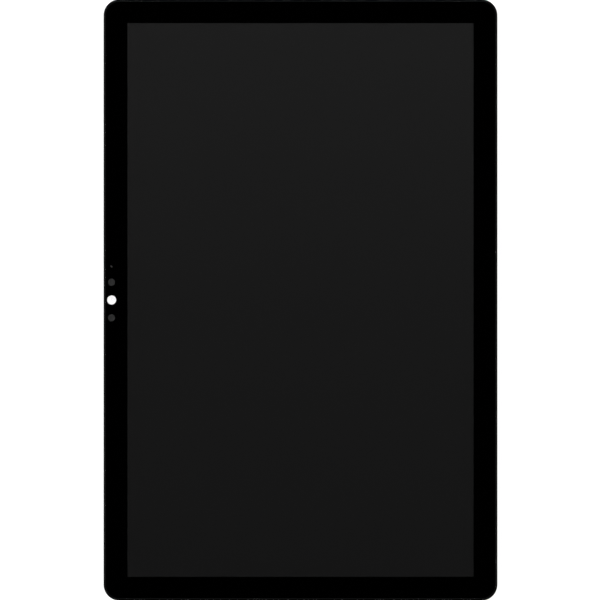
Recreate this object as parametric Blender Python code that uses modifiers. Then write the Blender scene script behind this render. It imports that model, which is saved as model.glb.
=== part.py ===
"""A 10.5 inch tablet computer, taken apart into the pieces it is assembled from.

The tablet lies on its back. +Z points out of the screen, +Y runs along the long side and the
front camera is on the -X long side. The origin is the middle of the rear face. Lengths are in
metres, written as millimetres times MM.
"""

import math

import bmesh
import bpy
from mathutils import Matrix, Vector

MM = 0.001

# Driving dimensions of the outside.
WIDTH = 160.7 * MM
LENGTH = 245.4 * MM
THICKNESS = 7.4 * MM
CORNER_RADIUS = 6.5 * MM
CORNER_SEGMENTS = 7
RIM_WIDTH = 0.7 * MM
CASE_INSET = 0.35 * MM
WALL = 0.9 * MM
BACK_EDGE_RADIUS = 2.0 * MM
BACK_EDGE_SEGMENTS = 4

# Screen: a 10.5 inch panel of 16:10.
SCREEN_WIDTH = 141.4 * MM
SCREEN_LENGTH = 226.2 * MM

# Clearances: between stacked sheets, around seated pieces and around keys. PAST is how far a
# cutter runs beyond what it cuts.
GAP = 0.05 * MM
KEY_GAP = 0.15 * MM
PAST = 1 * MM

# Heights of the layers, from the rear face up.
FLOOR_TOP = WALL
PARTS_FLOOR = FLOOR_TOP + 2 * GAP
BOARD_TOP = 1.65 * MM
MIDDLE_BOTTOM = 3.75 * MM
MIDDLE_TOP = 4.35 * MM
TRAY_BOTTOM = 4.5 * MM
REFLECTOR_BOTTOM = 4.8 * MM
REFLECTOR_TOP = 4.92 * MM
GUIDE_BOTTOM = 5.0 * MM
GUIDE_TOP = 5.5 * MM
LED_TOP = 5.45 * MM
DIFFUSER_BOTTOM = 5.55 * MM
DIFFUSER_TOP = 5.68 * MM
TRAY_TOP = 5.7 * MM
CASE_TOP = 6.0 * MM
LEDGE_BOTTOM = 5.3 * MM
LEDGE_TOP = 6.35 * MM
PRINT_BOTTOM = 6.58 * MM
PRINT_TOP = 6.66 * MM
GLASS_BOTTOM = 6.7 * MM
RIM_TOP = THICKNESS - GAP
RIM_EDGE = 0.15 * MM
LEDGE_WIDTH = 1.5 * MM

# Front camera and sensors, on the middle of the -X border.
CAMERA_FROM_EDGE = 3.15 * MM
CAMERA_X = CAMERA_FROM_EDGE - WIDTH / 2
CAMERA_WINDOW_RADIUS = 1.95 * MM
SENSOR_OFFSET = 7.25 * MM
SENSOR_WINDOW_RADIUS = 1.45 * MM
STATUS_OFFSET = 13.7 * MM
STATUS_WINDOW_RADIUS = 0.45 * MM
CAMERA_HALF_LENGTH = 3.2 * MM
CAMERA_BAY = 3.5 * MM
CAMERA_BAY_EDGE = -75.1 * MM
CAMERA_BAR = (-10.5 * MM, 16.5 * MM)
SENSOR_BOARD_WIDTH = 4.6 * MM
SENSOR_BOARD_BOTTOM = 4.8 * MM
SENSOR_BOARD_TOP = 5.0 * MM

# Openings in the side walls share one height.
PORT_Z = 2.75 * MM
KEY_HEIGHT = 1.8 * MM
POWER_KEY_Y = 98 * MM
POWER_KEY_LENGTH = 12 * MM
VOLUME_KEY_Y = 76 * MM
VOLUME_KEY_LENGTH = 24 * MM
KEY_PROUD = 0.3 * MM
VOLUME_SWITCH_OFFSET = 8 * MM
SWITCH_TIP = -77.9 * MM
SWITCH_BACK = -77.4 * MM
TRAY_Y = -70 * MM
TRAY_CAP_LENGTH = 16 * MM
TRAY_CAP_DEPTH = 1.0 * MM
TRAY_FRAME_LENGTH = 24 * MM
TRAY_FRAME_HALF = 6.4 * MM
TRAY_FRAME_Y = TRAY_Y - 1.3 * MM
TRAY_FRAME_HALF_THICKNESS = 0.35 * MM
CARD_HALF = 5.6 * MM
CARD_START = 5 * MM
CARD_END = 20.4 * MM
EJECT_HOLE_RADIUS = 0.45 * MM
READER_Y = (TRAY_Y - 8.3 * MM, TRAY_Y + 7.7 * MM)
USB_WIDTH = 8.34 * MM
USB_HEIGHT = 2.56 * MM
USB_SHELL = 0.25 * MM
USB_DEPTH = 8.1 * MM
USB_BOARD_X = 20 * MM
USB_BOARD_Y = (101.5 * MM, 119.6 * MM)
USB_BOARD_TOP = 1.6 * MM
MICROPHONE_X = 14 * MM
MICROPHONE_HOLE_RADIUS = 0.5 * MM

# Rear camera.
REAR_CAMERA = Vector((-62 * MM, 96 * MM, 0))
REAR_RING_RADIUS = 4.1 * MM
REAR_RING_WIDTH = 0.9 * MM
REAR_BODY_HALF = 4.5 * MM
REAR_WELL_RADIUS = 2.4 * MM
REAR_BARREL_RADIUS = 2.15 * MM
REAR_BARREL_BOTTOM = 1.35 * MM
REAR_BARREL_TOP = 3.1 * MM

# Speakers: one near each corner, behind a row of slots in the short wall.
SPEAKER_X = 59 * MM
SPEAKER_WIDTH = 30 * MM
SPEAKER_DEPTH = 11.3 * MM
SPEAKER_CONE_RADIUS = 4.2 * MM
SLOT_COUNT = 6
SLOT_LENGTH = 3.0 * MM
SLOT_HEIGHT = 1.1 * MM
SLOT_PITCH = 4.0 * MM

# Screws hold the middle frame to bosses on the rear cover.
SCREW_X = 75 * MM
SCREW_ROWS = (-100 * MM, 34 * MM, 100 * MM)
BOSS_RADIUS = 1.6 * MM
SCREW_RADIUS = 0.6 * MM
SCREW_HEAD_RADIUS = 1.1 * MM
SCREW_END = 1.5 * MM
BOSS_HOLE_BOTTOM = 1.3 * MM

# Main board along the camera side: each chip's name, middle in Y, width, length and height.
BOARD_X = (-73.2 * MM, -46 * MM)
BOARD_Y = (-92 * MM, 88 * MM)
CHIP_X = -60 * MM
CHIPS = (
    ("processor", 19 * MM, 13 * MM, 13 * MM, 0.9 * MM),
    ("memory_chip", 35 * MM, 11 * MM, 13 * MM, 0.8 * MM),
    ("power_chip", -22 * MM, 7 * MM, 7 * MM, 0.7 * MM),
    ("radio_chip", 66 * MM, 9 * MM, 9 * MM, 0.8 * MM),
)
SHIELD_SKIN = 0.15 * MM
SHIELD_TOP = MIDDLE_BOTTOM - 0.2 * MM

# Battery: two cells side by side along Y, in windows of the middle frame.
BATTERY_X = (-38 * MM, 72 * MM)
BATTERY_END = 100 * MM
BATTERY_GAP = 2.5 * MM
BATTERY_WINDOW_EDGE = 1 * MM
BATTERY_BOARD_X = (-44.5 * MM, -39.0 * MM)
BATTERY_BOARD_HALF = 14 * MM
BATTERY_BOARD_TOP = 1.8 * MM
LEAD_RADIUS = 0.45 * MM

# Middle frame.
FRAME_HALF_X = 76.4 * MM
FRAME_HALF_Y = 120.2 * MM
FRAME_CORNER = 4 * MM

# Ribbons and aerials.
DISPLAY_FLEX_Y = (-50 * MM, -40 * MM)
DISPLAY_FLEX_THICKNESS = 0.08 * MM
MAIN_FLEX_CORNER = Vector((-50 * MM, 106 * MM))
MAIN_FLEX_WIDTH = 4 * MM
MAIN_FLEX_REACH = 36 * MM
MAIN_FLEX_DROP = 22 * MM
MAIN_FLEX_THICKNESS = 0.12 * MM
ANTENNA_LENGTH = 38 * MM
ANTENNA_WIDTH = 2.6 * MM
ANTENNA_X = 49 * MM
ANTENNA_Y = 118.6 * MM

ROUND_STEPS = 24
SMALL_STEPS = 12

CASE_HALF_X = WIDTH / 2 - CASE_INSET
CASE_HALF_Y = LENGTH / 2 - CASE_INSET
INNER_X = CASE_HALF_X - WALL
INNER_Y = CASE_HALF_Y - WALL

# Colour, roughness and metallic value of each material.
FINISHES = {
    "graphite_metal": ((0.060, 0.064, 0.070), 0.42, 1.0),
    "black_plastic": ((0.004, 0.004, 0.004), 0.45, 0.0),
    "clear_glass": ((0.010, 0.010, 0.010), 0.05, 0.0),
    "black_print": ((0.002, 0.002, 0.002), 0.60, 0.0),
    "sensor_print": ((0.025, 0.025, 0.025), 0.50, 0.0),
    "screen": ((0.010, 0.010, 0.010), 0.35, 0.0),
    "white_film": ((0.80, 0.80, 0.78), 0.50, 0.0),
    "clear_acrylic": ((0.70, 0.74, 0.76), 0.10, 0.0),
    "bare_steel": ((0.45, 0.45, 0.46), 0.35, 1.0),
    "cast_magnesium": ((0.28, 0.28, 0.29), 0.55, 1.0),
    "circuit_board": ((0.010, 0.060, 0.040), 0.45, 0.0),
    "chip_black": ((0.012, 0.012, 0.013), 0.50, 0.0),
    "flex_amber": ((0.180, 0.060, 0.010), 0.40, 0.0),
    "battery_wrap": ((0.020, 0.020, 0.022), 0.35, 0.0),
    "white_plastic": ((0.85, 0.85, 0.85), 0.50, 0.0),
    "gold_contact": ((0.60, 0.42, 0.15), 0.30, 1.0),
}


def clear_scene():
    for item in list(bpy.data.objects):
        bpy.data.objects.remove(item)


def new_collection(name):
    made = bpy.data.collections.new(name)
    bpy.context.scene.collection.children.link(made)
    return made


def new_material(name, finish):
    """A Principled material of its own for one piece."""
    colour, roughness, metallic = FINISHES[finish]
    made = bpy.data.materials.new(name)
    made.use_nodes = True
    shader = made.node_tree.nodes["Principled BSDF"]
    shader.inputs["Base Color"].default_value = (*colour, 1)
    shader.inputs["Roughness"].default_value = roughness
    shader.inputs["Metallic"].default_value = metallic
    return made


clear_scene()
TABLET = new_collection("tablet_computer")
CUTTERS = new_collection("cutters")


def place(obj, finish):
    """Keeps an object as a piece of the tablet, in a material of its own."""
    for held in list(obj.users_collection):
        held.objects.unlink(obj)
    TABLET.objects.link(obj)
    obj.data.materials.clear()
    obj.data.materials.append(new_material(obj.name, finish))
    return obj


def as_cutter(obj):
    """Keeps an object only for cutting or joining another."""
    for held in list(obj.users_collection):
        held.objects.unlink(obj)
    CUTTERS.objects.link(obj)
    obj.hide_render = True
    obj.display_type = "WIRE"
    return obj


def rounded_outline(width, length, radius, segments=CORNER_SEGMENTS):
    """The corner points of a rounded rectangle about the origin, anticlockwise."""
    points = []
    for turn, (side_x, side_y) in enumerate(((1, 1), (-1, 1), (-1, -1), (1, -1))):
        centre = Vector((side_x * (width / 2 - radius), side_y * (length / 2 - radius)))
        for step in range(segments + 1):
            angle = math.pi / 2 * (turn + step / segments)
            points.append(centre + radius * Vector((math.cos(angle), math.sin(angle))))
    return points


def extrude_outline(name, points, thickness):
    """A closed solid from a flat outline, centred on its own origin, as a mesh object."""
    curve = bpy.data.curves.new(name, "CURVE")
    curve.dimensions = "2D"
    curve.fill_mode = "BOTH"
    curve.extrude = thickness / 2
    spline = curve.splines.new("POLY")
    spline.points.add(len(points) - 1)
    for point, where in zip(spline.points, points):
        point.co = (where[0], where[1], 0, 1)
    spline.use_cyclic_u = True
    drawn = bpy.data.objects.new(name + "_outline", curve)
    TABLET.objects.link(drawn)
    seen = drawn.evaluated_get(bpy.context.evaluated_depsgraph_get())
    mesh = bpy.data.meshes.new_from_object(seen)
    bpy.data.objects.remove(drawn)
    edit = bmesh.new()
    edit.from_mesh(mesh)
    bmesh.ops.remove_doubles(edit, verts=edit.verts, dist=0.001 * MM)
    bmesh.ops.dissolve_limit(edit, angle_limit=math.radians(0.5), verts=edit.verts, edges=edit.edges)
    edit.to_mesh(mesh)
    edit.free()
    mesh.name = name
    solid = bpy.data.objects.new(name, mesh)
    TABLET.objects.link(solid)
    return solid


def plate(name, width, length, radius, bottom, top, centre=(0, 0)):
    """A flat sheet with rounded corners, between two heights."""
    solid = extrude_outline(name, rounded_outline(width, length, radius), top - bottom)
    solid.location = (centre[0], centre[1], (bottom + top) / 2)
    return solid


def block(name, low, high, bevel=0.0):
    """A box between two corners."""
    low, high = Vector(low), Vector(high)
    bpy.ops.mesh.primitive_cube_add(size=1, location=(low + high) / 2)
    solid = bpy.context.object
    solid.name = solid.data.name = name
    solid.data.transform(Matrix.Diagonal((*(high - low), 1)))
    if bevel:
        add_bevel(solid, bevel)
    return solid


def drum(name, radius, bottom, top, centre, steps=ROUND_STEPS):
    """A cylinder that stands between two heights."""
    middle = (centre[0], centre[1], (bottom + top) / 2)
    bpy.ops.mesh.primitive_cylinder_add(vertices=steps, radius=radius, depth=top - bottom, location=middle)
    solid = bpy.context.object
    solid.name = solid.data.name = name
    return solid


def turned(name, profile, centre, steps=ROUND_STEPS):
    """A solid of revolution about Z. The profile runs from the axis at the top to the axis below."""
    mesh = bpy.data.meshes.new(name)
    edges = [(i, i + 1) for i in range(len(profile) - 1)]
    mesh.from_pydata([(radius, 0, height) for radius, height in profile], edges, [])
    solid = bpy.data.objects.new(name, mesh)
    TABLET.objects.link(solid)
    solid.location = (centre[0], centre[1], 0)
    spin = solid.modifiers.new("turn", "SCREW")
    spin.steps = spin.render_steps = steps
    spin.use_merge_vertices = True
    spin.merge_threshold = 0.001 * MM
    return solid


def wall_slot(name, centre, length, height, depth, facing):
    """A cutter for a round-ended slot. Its long side lies along the wall that faces along X or Y."""
    outline = rounded_outline(length, height, height * 0.499, segments=5)
    solid = as_cutter(extrude_outline(name, outline, depth))
    solid.location = centre
    solid.rotation_euler = (math.pi / 2, 0, math.pi / 2 if facing == "X" else 0)
    return solid


def add_bevel(solid, width, segments=1, angle=60):
    """Rounds or chamfers every edge sharper than the angle."""
    bevel = solid.modifiers.new("edges", "BEVEL")
    bevel.width = width
    bevel.segments = segments
    bevel.limit_method = "ANGLE"
    bevel.angle_limit = math.radians(angle)


def combine(solid, other, operation="DIFFERENCE"):
    """Cuts another object out of a solid, or joins it on."""
    as_cutter(other)
    step = solid.modifiers.new(other.name, "BOOLEAN")
    step.object = other
    step.operation = operation
    step.solver = "EXACT"
    return solid


def shade_round(solid, angle=35):
    """Smooth shading that keeps the sharp edges."""
    solid.data.shade_smooth()
    solid.data.set_sharp_from_angle(angle=math.radians(angle))
    return solid


def tray(name, width, length, radius, bottom, top, wall, edge=0.0, edge_segments=1):
    """An open tray: the skin of a plate without its top, thickened inwards."""
    solid = plate(name, width, length, radius, bottom, top)
    edit = bmesh.new()
    edit.from_mesh(solid.data)
    lids = [face for face in edit.faces if face.normal.z > 0.5]
    bmesh.ops.delete(edit, geom=lids, context="FACES_ONLY")
    edit.to_mesh(solid.data)
    edit.free()
    if edge:
        add_bevel(solid, edge, edge_segments)
    skin = solid.modifiers.new("skin", "SOLIDIFY")
    skin.thickness = wall
    skin.offset = -1
    skin.use_even_offset = True
    return solid


def make_rear_cover():
    """The metal shell: floor, side walls, screw bosses and every opening in them."""
    cover = tray("rear_cover", 2 * CASE_HALF_X, 2 * CASE_HALF_Y, CORNER_RADIUS - CASE_INSET, 0, CASE_TOP,
                 WALL, BACK_EDGE_RADIUS, BACK_EDGE_SEGMENTS)
    place(cover, "graphite_metal")
    through = 4 * WALL
    for side in (-1, 1):
        for row, y in enumerate(SCREW_ROWS):
            where = (side * SCREW_X, y)
            label = f"{'left' if side < 0 else 'right'}_{row + 1}"
            boss = drum(f"boss_{label}", BOSS_RADIUS, FLOOR_TOP / 2, MIDDLE_BOTTOM - GAP, where, SMALL_STEPS)
            combine(cover, boss, "UNION")
            bore = SCREW_RADIUS + 4 * GAP
            hole = drum(f"boss_hole_{label}", bore, BOSS_HOLE_BOTTOM, THICKNESS, where, SMALL_STEPS)
            combine(cover, hole)
    for name, y, length in (("power_key", POWER_KEY_Y, POWER_KEY_LENGTH),
                            ("volume_key", VOLUME_KEY_Y, VOLUME_KEY_LENGTH),
                            ("card_tray", TRAY_Y, TRAY_CAP_LENGTH)):
        combine(cover, wall_slot(f"{name}_opening", (-CASE_HALF_X, y, PORT_Z), length + 2 * KEY_GAP,
                                 KEY_HEIGHT + 2 * KEY_GAP, through, "X"))
    around = 2 * USB_SHELL + 2 * KEY_GAP
    combine(cover, wall_slot("usb_opening", (0, CASE_HALF_Y, PORT_Z), USB_WIDTH + around, USB_HEIGHT + around,
                             through, "Y"))
    for end in (-1, 1):
        for side in (-1, 1):
            for slot in range(SLOT_COUNT):
                x = side * SPEAKER_X + (slot - (SLOT_COUNT - 1) / 2) * SLOT_PITCH
                label = f"speaker_slot_{end + 2}{side + 2}{slot}"
                where = (x, end * CASE_HALF_Y, PORT_Z)
                combine(cover, wall_slot(label, where, SLOT_LENGTH, SLOT_HEIGHT, through, "Y"))
    half = through / 2
    microphone = drum("microphone_opening", MICROPHONE_HOLE_RADIUS, -half, half, (0, 0), SMALL_STEPS)
    microphone.rotation_euler = (math.pi / 2, 0, 0)
    microphone.location = (MICROPHONE_X, CASE_HALF_Y, PORT_Z)
    combine(cover, microphone)
    bore = REAR_RING_RADIUS + 2 * GAP
    combine(cover, drum("rear_camera_opening", bore, -PAST, FLOOR_TOP + PAST, REAR_CAMERA))
    return shade_round(cover)


def make_front_rim():
    """The black ring round the glass, with the ledge that the glass is glued to."""
    rim = plate("front_rim", WIDTH, LENGTH, CORNER_RADIUS, CASE_TOP + GAP, RIM_TOP)
    place(rim, "black_plastic")
    add_bevel(rim, RIM_EDGE)
    ledge_x, ledge_y = INNER_X - GAP, INNER_Y - GAP
    corner = CORNER_RADIUS - CASE_INSET - WALL - GAP
    ledge = plate("rim_ledge", 2 * ledge_x, 2 * ledge_y, corner, LEDGE_BOTTOM, LEDGE_TOP - 2 * GAP)
    combine(rim, ledge, "UNION")
    combine(rim, plate("glass_seat", WIDTH - 2 * RIM_WIDTH, LENGTH - 2 * RIM_WIDTH, CORNER_RADIUS - RIM_WIDTH,
                       LEDGE_TOP, THICKNESS + PAST))
    combine(rim, plate("rim_opening", 2 * (ledge_x - LEDGE_WIDTH), 2 * (ledge_y - LEDGE_WIDTH),
                       corner - LEDGE_WIDTH, LEDGE_BOTTOM - PAST, THICKNESS + PAST))
    combine(rim, block("camera_notch", (-INNER_X - CASE_INSET, CAMERA_BAR[0], LEDGE_BOTTOM - PAST),
                       (LEDGE_WIDTH * 1.2 - ledge_x, CAMERA_BAR[1], LEDGE_TOP + 2 * GAP)))
    return shade_round(rim)


def make_cover_glass():
    """The glass, flush with the top of the rim."""
    inset = RIM_WIDTH + GAP
    glass = plate("cover_glass", WIDTH - 2 * inset, LENGTH - 2 * inset, CORNER_RADIUS - inset,
                  GLASS_BOTTOM, THICKNESS)
    add_bevel(glass, 0.08 * MM)
    return shade_round(place(glass, "clear_glass"))


def make_border_print():
    """The black ink under the glass, open over the screen, the camera, the sensors and the light."""
    inset = RIM_WIDTH + 3 * GAP
    ink = plate("border_print", WIDTH - 2 * inset, LENGTH - 2 * inset, CORNER_RADIUS - inset,
                PRINT_BOTTOM, PRINT_TOP)
    place(ink, "black_print")
    below, above = PRINT_BOTTOM - PAST, PRINT_TOP + PAST
    combine(ink, block("screen_window", (-SCREEN_WIDTH / 2, -SCREEN_LENGTH / 2, below),
                       (SCREEN_WIDTH / 2, SCREEN_LENGTH / 2, above)))
    for name, offset, radius in (("camera_window", 0, CAMERA_WINDOW_RADIUS),
                                 ("light_window", SENSOR_OFFSET, SENSOR_WINDOW_RADIUS),
                                 ("proximity_window", -SENSOR_OFFSET, SENSOR_WINDOW_RADIUS),
                                 ("status_window", STATUS_OFFSET, STATUS_WINDOW_RADIUS)):
        combine(ink, drum(name, radius, below, above, (CAMERA_X, offset), ROUND_STEPS))
    return ink


def make_display():
    """The sheets of the screen, from the liquid crystal cell down to the steel tray."""
    over_x, over_y = 2.3 * MM, 2.9 * MM
    cell_width, cell_length = SCREEN_WIDTH + 2 * over_x, SCREEN_LENGTH + 2 * over_y
    corner = 0.5 * MM
    panel = plate("display_panel", cell_width, cell_length, corner, TRAY_TOP + GAP, PRINT_BOTTOM - GAP)
    place(panel, "screen")
    width, length = cell_width - 1 * MM, cell_length - 1 * MM
    place(plate("diffuser_sheet", width, length, corner, DIFFUSER_BOTTOM, DIFFUSER_TOP), "white_film")
    bar = 2.2 * MM
    guide = plate("light_guide", width, length - bar, corner, GUIDE_BOTTOM, GUIDE_TOP, (0, bar / 2))
    place(guide, "clear_acrylic")
    place(plate("reflector_sheet", width, length, corner, REFLECTOR_BOTTOM, REFLECTOR_TOP), "white_film")
    bar_y = -length / 2
    bar_half = width * 0.48
    leds = block("led_bar", (-bar_half, bar_y + 4 * GAP, GUIDE_BOTTOM),
                 (bar_half, bar_y + bar - 8 * GAP, LED_TOP), 2 * GAP)
    place(leds, "white_plastic")
    wall, room = 0.2 * MM, 1.5 * MM
    holder = tray("display_tray", cell_width + room, cell_length + room, corner + room / 2,
                  TRAY_BOTTOM, TRAY_TOP, wall)
    place(holder, "bare_steel")


def make_middle_frame():
    """The cast plate that carries the screen, open over the battery and round the ports."""
    frame = plate("mid_frame", 2 * FRAME_HALF_X, 2 * FRAME_HALF_Y, FRAME_CORNER, MIDDLE_BOTTOM, MIDDLE_TOP)
    place(frame, "cast_magnesium")
    low, high = MIDDLE_BOTTOM - PAST, MIDDLE_TOP + PAST
    edge = BATTERY_WINDOW_EDGE
    near, far = BATTERY_GAP - edge, BATTERY_END + edge
    for name, start, end in (("upper_cell", near, far), ("lower_cell", -far, -near)):
        combine(frame, block(f"{name}_window", (BATTERY_X[0] - edge, start, low),
                             (BATTERY_X[1] + edge, end, high)))
    usb_half, usb_start = 5.2 * MM, 112.8 * MM
    combine(frame, block("usb_window", (-usb_half, usb_start, low), (usb_half, FRAME_HALF_Y + PAST, high)))
    bay = CAMERA_BAY + 4 * GAP
    combine(frame, block("front_camera_window", (-FRAME_HALF_X - PAST, -bay, low),
                         (CAMERA_BAY_EDGE + 2 * GAP, bay, high)))
    slot_x, slot_half = -50 * MM, 1.5 * MM
    combine(frame, block("display_flex_slot", (slot_x - slot_half, DISPLAY_FLEX_Y[0] - 2 * MM, low),
                         (slot_x + slot_half, DISPLAY_FLEX_Y[1] + 2 * MM, high)))
    for side in (-1, 1):
        for row, y in enumerate(SCREW_ROWS):
            combine(frame, drum(f"frame_hole_{side + 2}{row}", SCREW_RADIUS + 5 * GAP, low, high,
                                (side * SCREW_X, y), SMALL_STEPS))
    return shade_round(frame)


def make_screws():
    """Pan-head screws with a round drive recess, numbered up each long side."""
    head_bottom = MIDDLE_TOP + GAP
    head_top = head_bottom + 0.5 * MM
    recess = 0.3 * MM
    edge, tip = 3 * GAP, 0.3 * MM
    drive = SCREW_HEAD_RADIUS - SCREW_RADIUS
    profile = [(0, head_top - recess), (drive - GAP, head_top - recess), (drive, head_top),
               (SCREW_HEAD_RADIUS - edge, head_top), (SCREW_HEAD_RADIUS, head_top - edge),
               (SCREW_HEAD_RADIUS, head_bottom), (SCREW_RADIUS, head_bottom),
               (SCREW_RADIUS, SCREW_END + tip), (tip, SCREW_END), (0, SCREW_END)]
    number = 0
    for side in (-1, 1):
        for y in SCREW_ROWS:
            number += 1
            screw = turned(f"screw_{number}", profile, (side * SCREW_X, y), SMALL_STEPS)
            shade_round(place(screw, "bare_steel"))


def make_shield(name, low, high):
    """A pressed can, open underneath."""
    can = block(name, low, high, 5 * GAP)
    place(can, "bare_steel")
    inside_low = Vector(low) + Vector((SHIELD_SKIN, SHIELD_SKIN, -PAST))
    inside_high = Vector(high) - Vector((SHIELD_SKIN, SHIELD_SKIN, SHIELD_SKIN))
    return combine(can, block(name + "_hollow", inside_low, inside_high))


def chip(name, centre, width, length, bottom, top):
    """A moulded chip package on a board."""
    low = (centre[0] - width / 2, centre[1] - length / 2, bottom)
    high = (centre[0] + width / 2, centre[1] + length / 2, top)
    return place(block(name, low, high, 0.12 * MM), "chip_black")


def make_main_board():
    """The circuit board along the camera side, its chips and their shields."""
    middle = ((BOARD_X[0] + BOARD_X[1]) / 2, (BOARD_Y[0] + BOARD_Y[1]) / 2)
    width, length, corner = BOARD_X[1] - BOARD_X[0], BOARD_Y[1] - BOARD_Y[0], 1.5 * MM
    board = plate("main_board", width, length, corner, PARTS_FLOOR, BOARD_TOP, middle)
    place(board, "circuit_board")
    base = BOARD_TOP + GAP
    for name, y, width, length, height in CHIPS:
        chip(name, (CHIP_X, y), width, length, base, base + height)
    make_shield("processor_shield", (-72 * MM, 9 * MM, base), (-48 * MM, 45 * MM, SHIELD_TOP))
    make_shield("radio_shield", (-72 * MM, 55 * MM, base), (-54 * MM, 77 * MM, SHIELD_TOP))


def make_battery():
    """Two pouch cells, their protection board and the lead to the main board."""
    for name, start, end in (("battery_cell_upper", BATTERY_GAP, BATTERY_END),
                             ("battery_cell_lower", -BATTERY_END, -BATTERY_GAP)):
        cell = block(name, (BATTERY_X[0], start, PARTS_FLOOR), (BATTERY_X[1], end, MIDDLE_TOP))
        add_bevel(cell, 0.7 * MM, 2)
        shade_round(place(cell, "battery_wrap"))
    board = block("battery_board", (BATTERY_BOARD_X[0], -BATTERY_BOARD_HALF, PARTS_FLOOR),
                  (BATTERY_BOARD_X[1], BATTERY_BOARD_HALF, BATTERY_BOARD_TOP), 2 * GAP)
    place(board, "circuit_board")
    route = [Vector((-41 * MM, 4 * MM, 2.3 * MM)), Vector((-44 * MM, 4 * MM, 2.5 * MM)),
             Vector((-46.5 * MM, 2.5 * MM, 2.6 * MM)), Vector((-49 * MM, 0, 2.45 * MM)),
             Vector((-51.5 * MM, -1 * MM, 2.3 * MM))]
    place(tube("battery_lead", route, LEAD_RADIUS), "black_plastic")


def tube(name, route, radius):
    """A wire along a route, with closed ends."""
    curve = bpy.data.curves.new(name, "CURVE")
    curve.dimensions = "3D"
    curve.bevel_depth = radius
    curve.bevel_resolution = 2
    curve.use_fill_caps = True
    spline = curve.splines.new("POLY")
    spline.points.add(len(route) - 1)
    for point, where in zip(spline.points, route):
        point.co = (*where, 1)
    wire = bpy.data.objects.new(name, curve)
    TABLET.objects.link(wire)
    return wire


def ribbon(name, path, start, end, thickness):
    """A flexible circuit: a path in X and Z, as wide in Y as from start to end."""
    mesh = bpy.data.meshes.new(name)
    corners = [(x, y, z) for x, z in path for y in (start, end)]
    faces = [(2 * i, 2 * i + 1, 2 * i + 3, 2 * i + 2) for i in range(len(path) - 1)]
    mesh.from_pydata(corners, [], faces)
    strip = bpy.data.objects.new(name, mesh)
    TABLET.objects.link(strip)
    skin = strip.modifiers.new("skin", "SOLIDIFY")
    skin.thickness = thickness
    skin.offset = 0
    skin.use_even_offset = True
    return place(strip, "flex_amber")


def make_flexes():
    """The ribbons that join the boards."""
    run = [(-70 * MM, 4.43 * MM), (-51.0 * MM, 4.43 * MM), (-50.3 * MM, 4.2 * MM), (-50 * MM, 3.7 * MM),
           (-50 * MM, 2.4 * MM), (-50.6 * MM, 1.95 * MM), (-52 * MM, 1.8 * MM), (-58 * MM, 1.8 * MM)]
    ribbon("display_flex", run, *DISPLAY_FLEX_Y, DISPLAY_FLEX_THICKNESS)
    width, reach, drop = MAIN_FLEX_WIDTH, MAIN_FLEX_REACH, MAIN_FLEX_DROP
    steps = ((0, 0), (0, -drop), (width, -drop), (width, -width), (reach, -width), (reach, 0))
    outline = [MAIN_FLEX_CORNER + Vector(step) for step in steps]
    flex = extrude_outline("main_flex", outline, MAIN_FLEX_THICKNESS)
    flex.location.z = BOARD_TOP + 2 * GAP + MAIN_FLEX_THICKNESS / 2
    place(flex, "flex_amber")
    for name, side in (("antenna_upper", 1), ("antenna_lower", -1)):
        strip = plate(name, ANTENNA_LENGTH, ANTENNA_WIDTH, 0.5 * MM, MIDDLE_TOP + GAP, MIDDLE_TOP + 4 * GAP,
                      (ANTENNA_X, side * ANTENNA_Y))
        place(strip, "flex_amber")


def make_usb_end():
    """The small board at the +Y end, with the USB-C socket and the microphone."""
    board = block("usb_board", (-USB_BOARD_X, USB_BOARD_Y[0], PARTS_FLOOR),
                  (USB_BOARD_X, USB_BOARD_Y[1], USB_BOARD_TOP), GAP)
    place(board, "circuit_board")
    shell_width, shell_height = USB_WIDTH + 2 * USB_SHELL, USB_HEIGHT + 2 * USB_SHELL
    mouth = CASE_HALF_Y - 0.4 * MM
    back = mouth - USB_DEPTH
    notch = shell_width / 2 + 2 * KEY_GAP
    combine(board, block("usb_board_notch", (-notch, back - 2 * KEY_GAP, 0),
                         (notch, USB_BOARD_Y[1] + PAST, USB_BOARD_TOP + PAST)))
    outline = rounded_outline(shell_width, shell_height, shell_height * 0.42, 5)
    port = extrude_outline("usb_c_port", outline, USB_DEPTH)
    port.location = (0, (mouth + back) / 2, PORT_Z)
    port.rotation_euler = (math.pi / 2, 0, 0)
    place(port, "bare_steel")
    outline = rounded_outline(USB_WIDTH, USB_HEIGHT, USB_HEIGHT * 0.4, 5)
    hollow = extrude_outline("usb_hollow", outline, USB_DEPTH)
    hollow.location = (0, (mouth + back) / 2 + PAST, PORT_Z)
    hollow.rotation_euler = (math.pi / 2, 0, 0)
    combine(port, hollow)
    tongue_half, tongue_thick = 3.3 * MM, 0.35 * MM
    tongue = block("usb_tongue", (-tongue_half, back + PAST / 2, PORT_Z - tongue_thick),
                   (tongue_half, mouth - 1.6 * MM, PORT_Z + tongue_thick), 2 * GAP)
    combine(port, tongue, "UNION")
    shade_round(port)
    can_half, can_depth = 1.75 * MM, 2.8 * MM
    can_front = USB_BOARD_Y[1] - 0.2 * MM
    can = block("microphone", (MICROPHONE_X - can_half, can_front - can_depth, USB_BOARD_TOP + GAP),
                (MICROPHONE_X + can_half, can_front, USB_BOARD_TOP + 1 * MM), 0.12 * MM)
    place(can, "gold_contact")


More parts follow.
